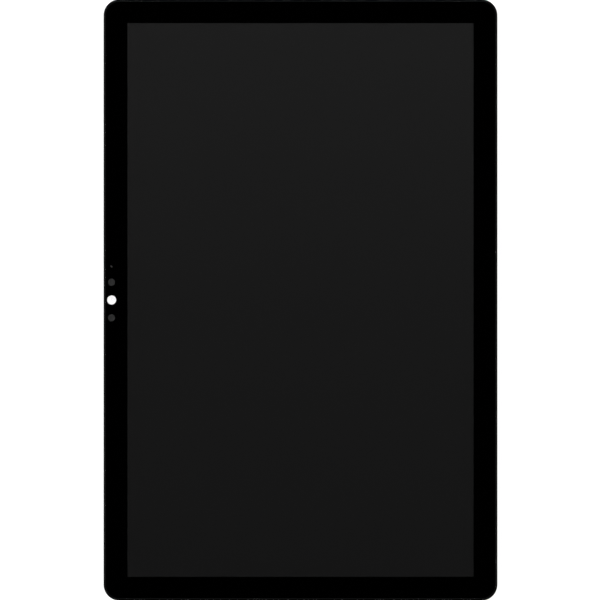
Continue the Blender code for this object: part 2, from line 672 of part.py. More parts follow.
def make_speakers():
    """A sealed box near each corner with a driver in its top and a snout towards the slots."""
    bottom, top = PARTS_FLOOR, MIDDLE_BOTTOM - 5 * GAP
    snout_half = SLOT_PITCH * SLOT_COUNT / 2 - 4 * GAP
    snout_bottom, snout_top = PORT_Z - 0.95 * MM, PORT_Z + 0.6 * MM
    for end_name, end in (("upper", 1), ("lower", -1)):
        for side_name, side in (("left", -1), ("right", 1)):
            x, y = side * SPEAKER_X, end * (INNER_Y - 2.0 * MM - SPEAKER_DEPTH / 2)
            name = f"speaker_{end_name}_{side_name}"
            box = block(name, (x - SPEAKER_WIDTH / 2, y - SPEAKER_DEPTH / 2, bottom),
                        (x + SPEAKER_WIDTH / 2, y + SPEAKER_DEPTH / 2, top), 0.3 * MM)
            place(box, "black_plastic")
            reach = (end * (INNER_Y - 6 * GAP), y)
            snout = block(name + "_snout", (x - snout_half, min(reach), snout_bottom),
                          (x + snout_half, max(reach), snout_top))
            combine(box, snout, "UNION")
            combine(box, drum(name + "_cone", SPEAKER_CONE_RADIUS, top - 0.4 * MM, top + PAST,
                              (x - side * 5 * MM, y), 20))


def make_front_camera():
    """The camera behind the round window: body, white shroud and lens, and the sensors beside it."""
    body_low = (-INNER_X + GAP, -CAMERA_HALF_LENGTH, 3.2 * MM)
    body_high = (CAMERA_X + 1.8 * MM, CAMERA_HALF_LENGTH, CASE_TOP)
    place(block("front_camera", body_low, body_high, 3 * GAP), "chip_black")
    bottom, top = CASE_TOP + GAP, PRINT_BOTTOM - 2 * GAP
    rim, hole = CAMERA_WINDOW_RADIUS + 4 * GAP, 0.5 * MM
    profile = [(hole, bottom + 2 * GAP), (rim - 7 * GAP, top), (rim, top), (rim, bottom), (hole, bottom)]
    shroud = turned("front_camera_shroud", profile + [profile[0]], (CAMERA_X, 0))
    shade_round(place(shroud, "white_plastic"))
    lens_radius = hole - GAP
    dome = [(0, bottom + 0.2 * MM), (0.25 * MM, bottom + 0.17 * MM), (lens_radius, bottom + 0.08 * MM),
            (lens_radius, bottom + GAP), (0, bottom + GAP)]
    lens = turned("front_camera_lens", dome, (CAMERA_X, 0), SMALL_STEPS)
    shade_round(place(lens, "clear_glass"))
    board = block("sensor_board", (-INNER_X + GAP, CAMERA_BAR[0] + 0.5 * MM, SENSOR_BOARD_BOTTOM),
                  (-INNER_X + GAP + SENSOR_BOARD_WIDTH, CAMERA_BAR[1] - 0.3 * MM, SENSOR_BOARD_TOP))
    place(board, "circuit_board")
    combine(board, block("camera_bay", (-INNER_X - PAST, -CAMERA_BAY, SENSOR_BOARD_BOTTOM - PAST),
                         (CAMERA_BAY_EDGE, CAMERA_BAY, SENSOR_BOARD_TOP + PAST)))
    base = SENSOR_BOARD_TOP + GAP
    for name, offset in (("light_sensor", SENSOR_OFFSET), ("proximity_sensor", -SENSOR_OFFSET)):
        chip(name, (CAMERA_X, offset), 2.6 * MM, 2.8 * MM, base, CASE_TOP + 2 * GAP)
    for name, offset in (("sensor_window_upper", SENSOR_OFFSET), ("sensor_window_lower", -SENSOR_OFFSET)):
        ink = drum(name, SENSOR_WINDOW_RADIUS - 0.02 * MM, PRINT_BOTTOM, PRINT_TOP, (CAMERA_X, offset))
        place(ink, "sensor_print")
    light = drum("status_light", STATUS_WINDOW_RADIUS + 3 * GAP, base, PRINT_BOTTOM - GAP,
                 (CAMERA_X, STATUS_OFFSET), SMALL_STEPS)
    shade_round(place(light, "white_film"))


def make_rear_camera():
    """Body, focusing lens barrel, cover window and trim ring of the camera in the back."""
    side, barrel = REAR_BODY_HALF, REAR_BARREL_BOTTOM
    top = MIDDLE_BOTTOM - 3 * GAP
    low = REAR_CAMERA + Vector((-side, -side, barrel - GAP))
    high = REAR_CAMERA + Vector((side, side, top))
    body = place(block("rear_camera", low, high, 0.3 * MM), "chip_black")
    combine(body, drum("barrel_well", REAR_WELL_RADIUS, 0, top - 0.35 * MM, REAR_CAMERA))
    profile = [(0, REAR_BARREL_TOP), (REAR_BARREL_RADIUS, REAR_BARREL_TOP), (REAR_BARREL_RADIUS, barrel),
               (REAR_BARREL_RADIUS - 0.3 * MM, barrel), (1.2 * MM, barrel + 0.45 * MM),
               (0.7 * MM, barrel + 0.35 * MM), (0, barrel + 0.28 * MM)]
    shade_round(place(turned("rear_camera_barrel", profile, REAR_CAMERA), "black_plastic"))
    inner = REAR_RING_RADIUS - REAR_RING_WIDTH
    top, edge, slope = 1.1 * MM, 0.15 * MM, 0.3 * MM
    ring = [(inner, top), (REAR_RING_RADIUS, top), (REAR_RING_RADIUS, GAP + edge),
            (REAR_RING_RADIUS - edge, GAP), (inner + slope, GAP), (inner, slope)]
    trim = turned("rear_camera_ring", ring + [ring[0]], REAR_CAMERA, 32)
    shade_round(place(trim, "graphite_metal"))
    window = drum("rear_camera_window", inner - 0.05 * MM, 0.35 * MM, 0.85 * MM, REAR_CAMERA)
    shade_round(place(window, "clear_glass"))


def key(name, y, length, flange_face, flange_thickness):
    """A key cap in its wall opening, with the flange inside that keeps it from falling out."""
    face = -CASE_HALF_X - KEY_PROUD
    depth = flange_face - face + 2 * GAP
    cap = extrude_outline(name, rounded_outline(length, KEY_HEIGHT, KEY_HEIGHT * 0.499, 5), depth)
    cap.data.transform(Matrix.Rotation(math.pi / 2, 4, "Z") @ Matrix.Rotation(math.pi / 2, 4, "X"))
    cap.data.transform(Matrix.Translation((depth / 2 - (flange_face - face), 0, 0)))
    cap.location = (flange_face, y, PORT_Z)
    add_bevel(cap, 0.12 * MM)
    place(cap, "graphite_metal")
    over, under, above = 0.6 * MM, 0.2 * MM, 0.4 * MM
    flange = block(name + "_flange", (flange_face, y - length / 2 - over, PORT_Z - KEY_HEIGHT / 2 - under),
                   (flange_face + flange_thickness, y + length / 2 + over, PORT_Z + KEY_HEIGHT / 2 + above))
    combine(cap, flange, "UNION")
    flange.parent = cap
    flange.matrix_parent_inverse = Matrix.Translation(cap.location).inverted()
    return shade_round(cap)


def make_keys():
    """Power key, volume rocker and the switches that they press."""
    key("power_key", POWER_KEY_Y, POWER_KEY_LENGTH, -INNER_X + 0.1 * MM, 0.5 * MM)
    key("volume_key", VOLUME_KEY_Y, VOLUME_KEY_LENGTH, -INNER_X + 0.35 * MM, 0.5 * MM)
    strip_low = VOLUME_KEY_Y - VOLUME_KEY_LENGTH / 2 - 2 * MM
    strip_high = POWER_KEY_Y + POWER_KEY_LENGTH / 2 + 2 * MM
    strip = block("key_flex", (SWITCH_BACK + GAP, strip_low, PORT_Z - 1.2 * MM),
                  (SWITCH_BACK + 5 * GAP, strip_high, PORT_Z + 0.9 * MM))
    place(strip, "flex_amber")
    half, tip_half, tip_height = 1.6 * MM, 0.7 * MM, 0.4 * MM
    for name, y in (("power_switch", POWER_KEY_Y),
                    ("volume_up_switch", VOLUME_KEY_Y + VOLUME_SWITCH_OFFSET),
                    ("volume_down_switch", VOLUME_KEY_Y - VOLUME_SWITCH_OFFSET)):
        body = block(name, (SWITCH_TIP + 5 * GAP, y - half, PORT_Z - 0.9 * MM),
                     (SWITCH_BACK, y + half, PORT_Z + 0.8 * MM))
        place(body, "bare_steel")
        combine(body, block(name + "_plunger", (SWITCH_TIP, y - tip_half, PORT_Z - tip_height),
                            (SWITCH_TIP + 8 * GAP, y + tip_half, PORT_Z + tip_height)), "UNION")


def make_card_tray():
    """The memory card tray with its cap, and the reader that it slides into."""
    face = -CASE_HALF_X
    inner_end = face + TRAY_CAP_DEPTH + TRAY_FRAME_LENGTH
    thick = TRAY_FRAME_HALF_THICKNESS
    low = (face + TRAY_CAP_DEPTH - 2 * GAP, TRAY_FRAME_Y - TRAY_FRAME_HALF, PORT_Z - thick)
    slider = block("card_tray", low, (inner_end, TRAY_FRAME_Y + TRAY_FRAME_HALF, PORT_Z + thick))
    place(slider, "graphite_metal")
    cap = wall_slot("card_tray_cap", (face + TRAY_CAP_DEPTH / 2, TRAY_Y, PORT_Z), TRAY_CAP_LENGTH, KEY_HEIGHT,
                    TRAY_CAP_DEPTH, "X")
    combine(slider, cap, "UNION")
    combine(slider, block("card_pocket", (face + CARD_START, TRAY_FRAME_Y - CARD_HALF, PORT_Z - PAST),
                          (face + CARD_END, TRAY_FRAME_Y + CARD_HALF, PORT_Z + PAST)))
    pin = drum("eject_hole", EJECT_HOLE_RADIUS, -2 * TRAY_CAP_DEPTH, 2 * TRAY_CAP_DEPTH, (0, 0), SMALL_STEPS)
    pin.rotation_euler = (0, math.pi / 2, 0)
    pin.location = (face, TRAY_Y + TRAY_CAP_LENGTH / 2 - 1.4 * MM, PORT_Z)
    combine(slider, pin)
    low = Vector((-INNER_X + 4 * GAP, READER_Y[0], BOARD_TOP + GAP))
    high = Vector((inner_end + 1.6 * MM, READER_Y[1], MIDDLE_BOTTOM - 3 * GAP))
    reader = place(block("card_reader", low, high, 3 * GAP), "bare_steel")
    skin = 5 * GAP
    combine(reader, block("reader_mouth", (low.x - 2 * PAST, low.y + skin, low.z + skin),
                          (high.x - 2 * skin, high.y - skin, high.z - skin)))


def main():
    make_rear_cover()
    make_front_rim()
    make_cover_glass()
    make_border_print()
    make_display()
    make_middle_frame()
    make_screws()
    make_main_board()
    make_battery()
    make_flexes()
    make_usb_end()
    make_speakers()
    make_front_camera()
    make_rear_camera()
    make_keys()
    make_card_tray()


main()
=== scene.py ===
"""Looks of the tablet computer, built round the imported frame.

The tablet lies on its back on a white floor. +Z points out of the screen, +Y runs along the long
side and the front camera is on the -X long side. Lengths are in metres.
"""

import math
import random

import bmesh
import bpy
from mathutils import Matrix, Vector


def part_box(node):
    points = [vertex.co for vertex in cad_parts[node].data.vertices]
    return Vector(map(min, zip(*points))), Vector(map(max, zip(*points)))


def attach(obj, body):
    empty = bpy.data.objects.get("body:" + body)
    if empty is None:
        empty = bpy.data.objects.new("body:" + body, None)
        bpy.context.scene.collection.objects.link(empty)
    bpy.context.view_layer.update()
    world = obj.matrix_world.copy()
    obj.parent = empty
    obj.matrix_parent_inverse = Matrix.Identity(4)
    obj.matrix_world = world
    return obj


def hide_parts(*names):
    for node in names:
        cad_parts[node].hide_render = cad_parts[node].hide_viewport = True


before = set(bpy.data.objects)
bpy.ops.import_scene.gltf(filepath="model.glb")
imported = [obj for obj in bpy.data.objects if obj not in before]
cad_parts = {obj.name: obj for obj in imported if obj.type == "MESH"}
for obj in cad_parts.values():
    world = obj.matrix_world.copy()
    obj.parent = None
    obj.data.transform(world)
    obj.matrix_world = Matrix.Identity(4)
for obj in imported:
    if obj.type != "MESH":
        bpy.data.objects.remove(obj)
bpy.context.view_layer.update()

# ---- sizes

MM = 0.001
UP = Vector((0, 0, 1))
LEFT, BACK = (-1, 0, 0), (0, 1, 0)
ROOT = "tablet"
CORNER_STEPS = 20
ROUND_STEPS = 64
WELD = 0.0003 * MM
SHARP = math.radians(30)

RIM_LOW, RIM_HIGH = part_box("front_rim")
CASE_LOW, CASE_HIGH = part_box("rear_cover")
PORT_LOW, PORT_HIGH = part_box("usb_c_port")
PORT_Z = (PORT_LOW.z + PORT_HIGH.z) / 2
FRAME_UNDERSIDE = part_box("mid_frame")[0].z

CORNER_RADIUS = 6.5 * MM
CASE_RADIUS = CORNER_RADIUS - (RIM_HIGH.x - CASE_HIGH.x)
WALL = 0.9 * MM
BACK_EDGE = 2.0 * MM
RIM_WIDTH = 0.7 * MM
SEAM = 0.05 * MM
LEDGE_TOP = 6.35 * MM
SCREEN_HALF_X, SCREEN_HALF_Y = 70.7 * MM, 113.1 * MM

KEY_GAP = 0.15 * MM
KEY_HEIGHT = 1.8 * MM
KEY_FLANGE_REACH = 0.6 * MM
SLOT_LENGTH = 3.0 * MM
SLOT_HEIGHT = 1.1 * MM
SLOT_COUNT = 6
SLOT_PITCH = 4.0 * MM
MICROPHONE_HOLE = (1.02 * MM, 1.0 * MM)
SCREW_COUNT = 6
BAND_DEPTH = 0.25 * MM
BAND_WIDTH = 1.2 * MM
BAND_PLACE = 110.5 * MM

# Dark grey of the screen, with a painted reflection gradient from -Y to +Y.
SCREEN_TONES_WITH_PAINTED_REFLECTION = (0.0049, 0.0063, 0.0085)
FLOOR_TONE = 0.40
FLOOR_GLOW = 0.66
WORLD_STRENGTH = 0.9
LAMP_SIZE = (2.6, 1.2)
LAMPS = (
    ("soft_box_left", (-1.25, 0.3, 1.55), 24.5),
    ("soft_box_right", (1.3, -0.2, 1.6), 21),
    ("soft_box_far", (0.1, 1.3, 1.6), 17),
    ("soft_box_near", (-0.1, -1.35, 1.55), 13),
)


def grey(tone):
    return (tone,) * 3


def middle(node):
    low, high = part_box(node)
    return (low + high) / 2


def extent(node):
    low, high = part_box(node)
    return high - low


def round_box(node):
    """Middle, radius, bottom and top of a round upright piece."""
    low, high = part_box(node)
    return (low + high) / 2, (high.x - low.x) / 2, low.z, high.z


# ---- mesh tools

def weld(edit):
    """Merges points that coincide, which also drops faces without area."""
    bmesh.ops.remove_doubles(edit, verts=edit.verts, dist=WELD)
    bmesh.ops.dissolve_degenerate(edit, edges=edit.edges, dist=WELD)


def link(name, data):
    """An object in the scene from a mesh, a lamp or a camera."""
    made = bpy.data.objects.new(name, data)
    bpy.context.scene.collection.objects.link(made)
    return made


def write_mesh(edit, mesh):
    """Moves a bmesh into a mesh, shaded smooth over all but its sharp edges."""
    edit.to_mesh(mesh)
    edit.free()
    mesh.shade_smooth()
    mesh.set_sharp_from_angle(angle=SHARP)


def new_object(name, edit):
    weld(edit)
    bmesh.ops.recalc_face_normals(edit, faces=edit.faces)
    mesh = bpy.data.meshes.new(name)
    write_mesh(edit, mesh)
    return link(name, mesh)


def outline(half_x, half_y, radius, steps):
    """Corner points of a rounded rectangle, anticlockwise."""
    points = []
    for turn, (side_x, side_y) in enumerate(((1, 1), (-1, 1), (-1, -1), (1, -1))):
        for step in range(steps + 1):
            angle = math.pi / 2 * (turn + step / steps)
            points.append((side_x * (half_x - radius) + radius * math.cos(angle),
                           side_y * (half_y - radius) + radius * math.sin(angle)))
    return points


def sweep(name, half_x, half_y, radius, section, closed=False, steps=CORNER_STEPS):
    """Carries a section of (inset, height) points round a rounded rectangle.

    A closed section makes a ring. An open one is capped at both ends.
    """
    edit = bmesh.new()
    loops = []
    for inset, height in section:
        corner = max(radius - inset, 0.01 * MM)
        flat = outline(half_x - inset, half_y - inset, corner, steps)
        loops.append([edit.verts.new((x, y, height)) for x, y in flat])
    pairs = list(zip(loops, loops[1:]))
    if closed:
        pairs.append((loops[-1], loops[0]))
    for lower, upper in pairs:
        for i in range(len(lower)):
            j = (i + 1) % len(lower)
            edit.faces.new((lower[i], lower[j], upper[j], upper[i]))
    if not closed:
        edit.faces.new(list(reversed(loops[0])))
        edit.faces.new(loops[-1])
    return new_object(name, edit)


def arc(centre, radius, start, end, steps):
    """Points of a circular arc in (inset, height), angles in degrees."""
    points = []
    for step in range(steps + 1):
        angle = math.radians(start + (end - start) * step / steps)
        points.append((centre[0] + radius * math.cos(angle), centre[1] + radius * math.sin(angle)))
    return points


def dome(radius, base, height, steps=10):
    """Points of a dome in (radius, height), from just above its foot to its tip."""
    angles = [math.pi / 2 * step / steps for step in range(1, steps)]
    return [(radius * math.cos(a), base + height * math.sin(a)) for a in angles] + [(0, base + height)]


def turned(name, profile, centre, steps=ROUND_STEPS, closed=False):
    """A solid of revolution about a vertical axis, from (radius, height) points."""
    edit = bmesh.new()
    loops = []
    for radius, height in profile:
        turns = [2 * math.pi * i / steps for i in range(steps)] if radius > 1e-7 else [0]
        loops.append([edit.verts.new((radius * math.cos(a), radius * math.sin(a), height)) for a in turns])
    pairs = list(zip(loops, loops[1:]))
    if closed:
        pairs.append((loops[-1], loops[0]))
    for lower, upper in pairs:
        for i in range(steps):
            j = (i + 1) % steps
            corners = [lower[i % len(lower)], lower[j % len(lower)],
                       upper[j % len(upper)], upper[i % len(upper)]]
            edit.faces.new(list(dict.fromkeys(corners)))
    made = new_object(name, edit)
    made.data.transform(Matrix.Translation((centre[0], centre[1], 0)))
    return made


def disc(name, radius, low, high, centre, steps=96):
    """A plain round plug: a cutter, or a spot of ink."""
    return turned(name, [(0, low), (radius, low), (radius, high), (0, high)], centre, steps)


def stand_on_wall(made, outward, place):
    """Turns a solid built along Z so that its top looks outward, and puts it in place."""
    outward = Vector(outward)
    turn = Matrix((UP.cross(outward), UP, outward)).transposed().to_4x4()
    made.data.transform(Matrix.Translation(place) @ turn)
    return made


def pill(name, length, height, section, outward, place, steps=12):
    """A round-ended solid on a side wall. The section runs outwards as (inset, distance)."""
    made = sweep(name, length / 2, height / 2, height / 2, section, steps=steps)
    return stand_on_wall(made, outward, place)


def box(name, low, high, bevel=0.0, segments=2):
    """A box between two corners with rounded edges."""
    low, high = Vector(low), Vector(high)
    edit = bmesh.new()
    bmesh.ops.create_cube(edit, size=1)
    bmesh.ops.scale(edit, vec=high - low, verts=edit.verts)
    bmesh.ops.translate(edit, vec=(low + high) / 2, verts=edit.verts)
    if bevel:
        bmesh.ops.bevel(edit, geom=edit.edges, offset=bevel, segments=segments, profile=0.5, affect="EDGES")
    return new_object(name, edit)


def combine(target, others, operation="DIFFERENCE"):
    """Cuts solids out of a target, or joins them on, for good."""
    edit = bmesh.new()
    for other in others:
        edit.from_mesh(other.data)
        bpy.data.objects.remove(other)
    mesh = bpy.data.meshes.new("tool")
    edit.to_mesh(mesh)
    edit.free()
    tool = link("tool", mesh)
    step = target.modifiers.new("combine", "BOOLEAN")
    step.object = tool
    step.operation = operation
    step.solver = "EXACT"
    seen = target.evaluated_get(bpy.context.evaluated_depsgraph_get())
    mesh = bpy.data.meshes.new_from_object(seen)
    target.modifiers.clear()
    edit = bmesh.new()
    edit.from_mesh(mesh)
    weld(edit)
    write_mesh(edit, mesh)
    target.data = mesh
    mesh.name = target.name
    bpy.data.objects.remove(tool)


# ---- materials

def new_material(name):
    made = bpy.data.materials.new(name)
    made.use_nodes = True
    return made, made.node_tree, made.node_tree.nodes["Principled BSDF"]


def feed(tree, node, inputs):
    """Gives a shader node's inputs a value each, or another node's output."""
    for key, value in inputs.items():
        if isinstance(value, bpy.types.NodeSocket):
            tree.links.new(value, node.inputs[key])
        else:
            node.inputs[key].default_value = value


def add(tree, kind, inputs=None, **settings):
    """A shader node with its settings and inputs."""
    made = tree.nodes.new(kind)
    for key, value in settings.items():
        setattr(made, key, value)
    feed(tree, made, inputs or {})
    return made


def show(tree, shader):
    tree.links.new(shader.outputs[0], tree.nodes["Material Output"].inputs["Surface"])


def coordinates(tree):
    """Places on the object, in metres."""
    return add(tree, "ShaderNodeTexCoord").outputs["Object"]


def noise(tree, size, detail, stretch=None):
    """Noise whose features are about this size. Stretch squeezes it along X, Y or Z."""
    where = coordinates(tree)
    if stretch:
        where = add(tree, "ShaderNodeMapping", {"Vector": where, "Scale": stretch}).outputs[0]
    return add(tree, "ShaderNodeTexNoise", {"Vector": where, "Scale": 1 / size,
                                            "Detail": detail}).outputs["Fac"]


def spread(tree, value, low, high, start=0.3, end=0.7):
    """Maps a value from between start and end to between two results."""
    return add(tree, "ShaderNodeMapRange", {"Value": value, "From Min": start, "From Max": end,
                                            "To Min": low, "To Max": high}).outputs[0]


def uneven(tree, size, detail, low, high, start=0.3, end=0.7):
    """Varies between two values in patches of about this size."""
    return spread(tree, noise(tree, size, detail), low, high, start, end)


def shades(tree, value, stops):
    """A colour for each value, between stops of (value, colour)."""
    ramp = add(tree, "ShaderNodeValToRGB", {"Fac": value})
    band = ramp.color_ramp
    while len(band.elements) < len(stops):
        band.elements.new(0.5)
    for element, (at, colour) in zip(band.elements, stops):
        element.position = at
        element.color = (*colour, 1)
    return ramp.outputs["Color"]


def clouds(tree, size, detail, low, high, start=0.3, end=0.7):
    """Soft patches of two colours, about this size."""
    return shades(tree, noise(tree, size, detail), ((start, low), (end, high)))


def math_node(tree, operation, first, second):
    return add(tree, "ShaderNodeMath", {0: first, 1: second}, operation=operation).outputs[0]


def blend_colours(tree, amount, first, second):
    return add(tree, "ShaderNodeMix", {0: amount, 6: first, 7: second}, data_type="RGBA").outputs[2]


def relief(tree, height, depth):
    """A bump whose full height is the depth, in metres."""
    return add(tree, "ShaderNodeBump", {"Height": height, "Distance": depth, "Strength": 1.0}).outputs[0]


def edge_mask(tree, radius):
    """1 on sharp edges within the radius and 0 on flat stretches."""
    rounded = add(tree, "ShaderNodeBevel", {"Radius": radius}, samples=6).outputs[0]
    flat = add(tree, "ShaderNodeNewGeometry").outputs["Normal"]
    same = add(tree, "ShaderNodeVectorMath", {0: rounded, 1: flat}, operation="DOT_PRODUCT").outputs["Value"]
    return spread(tree, same, 0.0, 1.0, 0.995, 0.90)


def graphite_material(name="graphite_anodised", tone=1.0):
    """Bead-blasted aluminium, anodised dark graphite: fine grain, faint clouding, and sharp edges lighter in
    patches, partly wear and partly a painted edge highlight.
    """
    made, tree, shader = new_material(name)
    dark, light, worn_and_highlight = (tuple(tone * c for c in colour) for colour in (
        (0.074, 0.078, 0.085), (0.080, 0.084, 0.091), (0.34, 0.35, 0.36)))
    # Lighter patches on sharp edges: wear on the anodising, and a painted edge highlight as well.
    edge_wear_and_highlight = math_node(tree, "MULTIPLY", edge_mask(tree, 0.12 * MM), noise(tree, 3 * MM, 5))
    edge_wear_and_highlight = spread(tree, edge_wear_and_highlight, 0.0, 0.75, 0.25, 0.75)
    feed(tree, shader, {
        "Base Color": blend_colours(tree, edge_wear_and_highlight, clouds(tree, 14 * MM, 6, dark, light), (*worn_and_highlight, 1)),
        "Roughness": uneven(tree, 0.5 * MM, 2, 0.33, 0.43), "Metallic": 1.0,
        "Normal": relief(tree, noise(tree, 0.11 * MM, 2), 0.004 * MM)})
    return made


def polished_material():
    """Diamond-cut metal with faint turning lines."""
    made, tree, shader = new_material("polished_chamfer")
    colour = (0.30, 0.31, 0.33)
    feed(tree, shader, {
        "Base Color": clouds(tree, 6 * MM, 3, tuple(0.92 * c for c in colour), colour),
        "Roughness": uneven(tree, 0.8 * MM, 3, 0.12, 0.22), "Metallic": 1.0,
        "Normal": relief(tree, noise(tree, 0.06 * MM, 1), 0.001 * MM)})
    return made


def plastic_material(name, colour, roughness, grain=0.15 * MM, depth=0.003 * MM, variation=0.12,
                     specular=0.5):
    """Moulded plastic with a fine spark-eroded grain."""
    made, tree, shader = new_material(name)
    low, high = (tuple(c * (1 + change) for c in colour) for change in (-variation, variation))
    feed(tree, shader, {
        "Base Color": clouds(tree, 9 * MM, 4, low, high, 0.35, 0.65),
        "Roughness": uneven(tree, 2 * MM, 4, roughness - 0.03, roughness + 0.04),
        "Specular IOR Level": specular, "Normal": relief(tree, noise(tree, grain, 2), depth)})
    return made


def glass_material(name="clear_cover_glass", smudge=0.012):
    """Clear glass that mirrors more at a slant. Light leaves through its back faces untouched."""
    made, tree, shader = new_material(name)
    tree.nodes.remove(shader)
    rough = uneven(tree, 26 * MM, 6, 0.015, 0.015 + smudge * 3, 0.52, 0.75)
    gloss = add(tree, "ShaderNodeBsdfGlossy", {"Color": (1, 1, 1, 1), "Roughness": rough})
    clear = add(tree, "ShaderNodeBsdfTransparent", {"Color": (1, 1, 1, 1)})
    front = math_node(tree, "SUBTRACT", 1.0, add(tree, "ShaderNodeNewGeometry").outputs["Backfacing"])
    mirror = math_node(tree, "MULTIPLY", add(tree, "ShaderNodeFresnel", {"IOR": 1.45}).outputs[0], front)
    show(tree, add(tree, "ShaderNodeMixShader", {0: mirror, 1: clear.outputs[0], 2: gloss.outputs[0]}))
    return made


def screen_material():
    """The dark panel: very dark grey under its own matt polariser, with a painted reflection that makes it
    lighter towards +Y.
    """
    made, tree, shader = new_material("screen_polariser_painted_reflection")
    height = add(tree, "ShaderNodeSeparateXYZ", {0: coordinates(tree)}).outputs["Y"]
    along = spread(tree, height, 0.0, 1.0, -SCREEN_HALF_Y, SCREEN_HALF_Y)
    # Painted reflection: the base colour grows lighter from -Y to +Y.
    stops = [(at, grey(tone)) for at, tone in zip((0.0, 0.5, 1.0), SCREEN_TONES_WITH_PAINTED_REFLECTION)]
    feed(tree, shader, {
        "Base Color": shades(tree, along, stops), "Specular IOR Level": 0.05,
        "Roughness": uneven(tree, 0.3 * MM, 2, 0.28, 0.34)})
    return made


def ink_material(name, tone):
    """Screen-printed ink seen through glass: no shine of its own."""
    made, tree, shader = new_material(name)
    feed(tree, shader, {
        "Base Color": clouds(tree, 0.2 * MM, 2, grey(tone * 0.9), grey(tone * 1.1)),
        "Roughness": 0.7, "Specular IOR Level": 0.0})
    return made


def sheet_metal(name, colour, roughness, grain=0.12 * MM, depth=0.002 * MM, stretch=None):
    """Bare metal with rolled, blasted or plated grain. Stretch draws the grain out along an axis."""
    made, tree, shader = new_material(name)
    low, high = (tuple(c * change for c in colour) for change in (0.90, 1.10))
    lines = noise(tree, grain, 3, stretch)
    feed(tree, shader, {
        "Base Color": clouds(tree, 7 * MM, 5, low, high), "Metallic": 1.0,
        "Roughness": spread(tree, lines, roughness - 0.06, roughness + 0.08),
        "Normal": relief(tree, lines, depth)})
    return made


def cells(tree, size, randomness):
    """Distances to the centres of cells of about this size."""
    return add(tree, "ShaderNodeTexVoronoi", {"Vector": coordinates(tree), "Scale": 1 / size,
                                              "Randomness": randomness}, feature="F1").outputs["Distance"]


def tracks(tree, spacing, run, width, across):
    """Parallel tracks with a short cross-over now and then, along X or, when across, along Y."""
    where = coordinates(tree)
    if across:
        parts = add(tree, "ShaderNodeSeparateXYZ", {0: where})
        where = add(tree, "ShaderNodeCombineXYZ", {0: parts.outputs["Y"], 1: parts.outputs["X"]}).outputs[0]
    bricks = add(tree, "ShaderNodeTexBrick",
                 {"Vector": where, "Scale": 1.0, "Mortar Size": width / 2, "Mortar Smooth": 0.2,
                  "Brick Width": run, "Row Height": spacing}, offset=0.37, offset_frequency=3)
    return bricks.outputs["Fac"]


def board_material():
    """Green solder mask over bundles of copper tracks that run both ways, and gold-ringed holes."""
    made, tree, shader = new_material("board_solder_mask")
    mask = clouds(tree, 5 * MM, 3, (0.004, 0.040, 0.022), (0.007, 0.055, 0.032))
    choice = uneven(tree, 6 * MM, 0, 0.0, 1.0, 0.49, 0.51)
    fine = add(tree, "ShaderNodeMix", {0: choice, 2: tracks(tree, 0.42 * MM, 5.2 * MM, 0.16 * MM, False),
                                       3: tracks(tree, 0.55 * MM, 7.1 * MM, 0.18 * MM, True)}).outputs[0]
    colour = blend_colours(tree, fine, mask, (0.014, 0.100, 0.050, 1))
    hole = spread(tree, cells(tree, 2.3 * MM, 0.8), 1.0, 0.0, 0.09, 0.11)
    feed(tree, shader, {
        "Base Color": blend_colours(tree, hole, colour, (0.60, 0.42, 0.15, 1)), "Metallic": hole,
        "Roughness": uneven(tree, MM, 2, 0.30, 0.42),
        "Normal": relief(tree, fine, 0.02 * MM)})
    return made


def flex_material(name, direction):
    """Amber film over copper tracks that run side by side."""
    made, tree, shader = new_material(name)
    film = clouds(tree, 6 * MM, 3, (0.15, 0.050, 0.008), (0.20, 0.072, 0.013))
    wave = add(tree, "ShaderNodeTexWave", {"Vector": coordinates(tree), "Scale": 1 / (3.2 * MM),
                                           "Distortion": 0.0}, bands_direction=direction).outputs["Fac"]
    track = spread(tree, wave, 0.0, 1.0, 0.55, 0.65)
    feed(tree, shader, {
        "Base Color": blend_colours(tree, track, film, (0.36, 0.15, 0.035, 1)), "Coat Weight": 0.4,
        "Roughness": uneven(tree, 1.5 * MM, 3, 0.26, 0.40),
        "Normal": relief(tree, track, 0.012 * MM)})
    return made


def foil_material():
    """Black laminate foil drawn over the cells: shallow creases under a satin coat."""
    made, tree, shader = new_material("battery_foil")
    feed(tree, shader, {
        "Base Color": clouds(tree, 20 * MM, 5, (0.012, 0.012, 0.013), (0.022, 0.022, 0.024)),
        "Roughness": uneven(tree, 4 * MM, 5, 0.28, 0.46),
        "Normal": relief(tree, noise(tree, 9 * MM, 6, (1.0, 0.5, 1.0)), 0.10 * MM)})
    return made


def acrylic_material():
    """Clear acrylic with a grid of white dots that throw the light out."""
    made, tree, shader = new_material("light_guide_acrylic")
    dot = spread(tree, cells(tree, 0.9 * MM, 0.0), 1.0, 0.0, 0.24, 0.30)
    feed(tree, shader, {
        "Base Color": blend_colours(tree, dot, (0.62, 0.67, 0.69, 1), (*grey(0.92), 1)),
        "Roughness": uneven(tree, 3 * MM, 3, 0.06, 0.12),
        "Alpha": spread(tree, dot, 0.45, 1.0, 0.0, 1.0), "Normal": relief(tree, dot, 0.01 * MM)})
    return made


def coated_material():
    """A coated lens: nearly black, with a violet-green shine."""
    made, tree, shader = new_material("coated_lens")
    slant = add(tree, "ShaderNodeLayerWeight", {"Blend": 0.4}).outputs["Facing"]
    feed(tree, shader, {
        "Base Color": clouds(tree, MM, 2, (0.006, 0.005, 0.012), (0.008, 0.008, 0.014)),
        "Specular Tint": shades(tree, slant, ((0.0, (0.02, 0.01, 0.05)), (0.5, (0.01, 0.04, 0.05)),
                                              (1.0, (0.05, 0.02, 0.08)))),
        "Roughness": 0.04, "Coat Weight": 1.0, "Coat Roughness": 0.02})
    return made


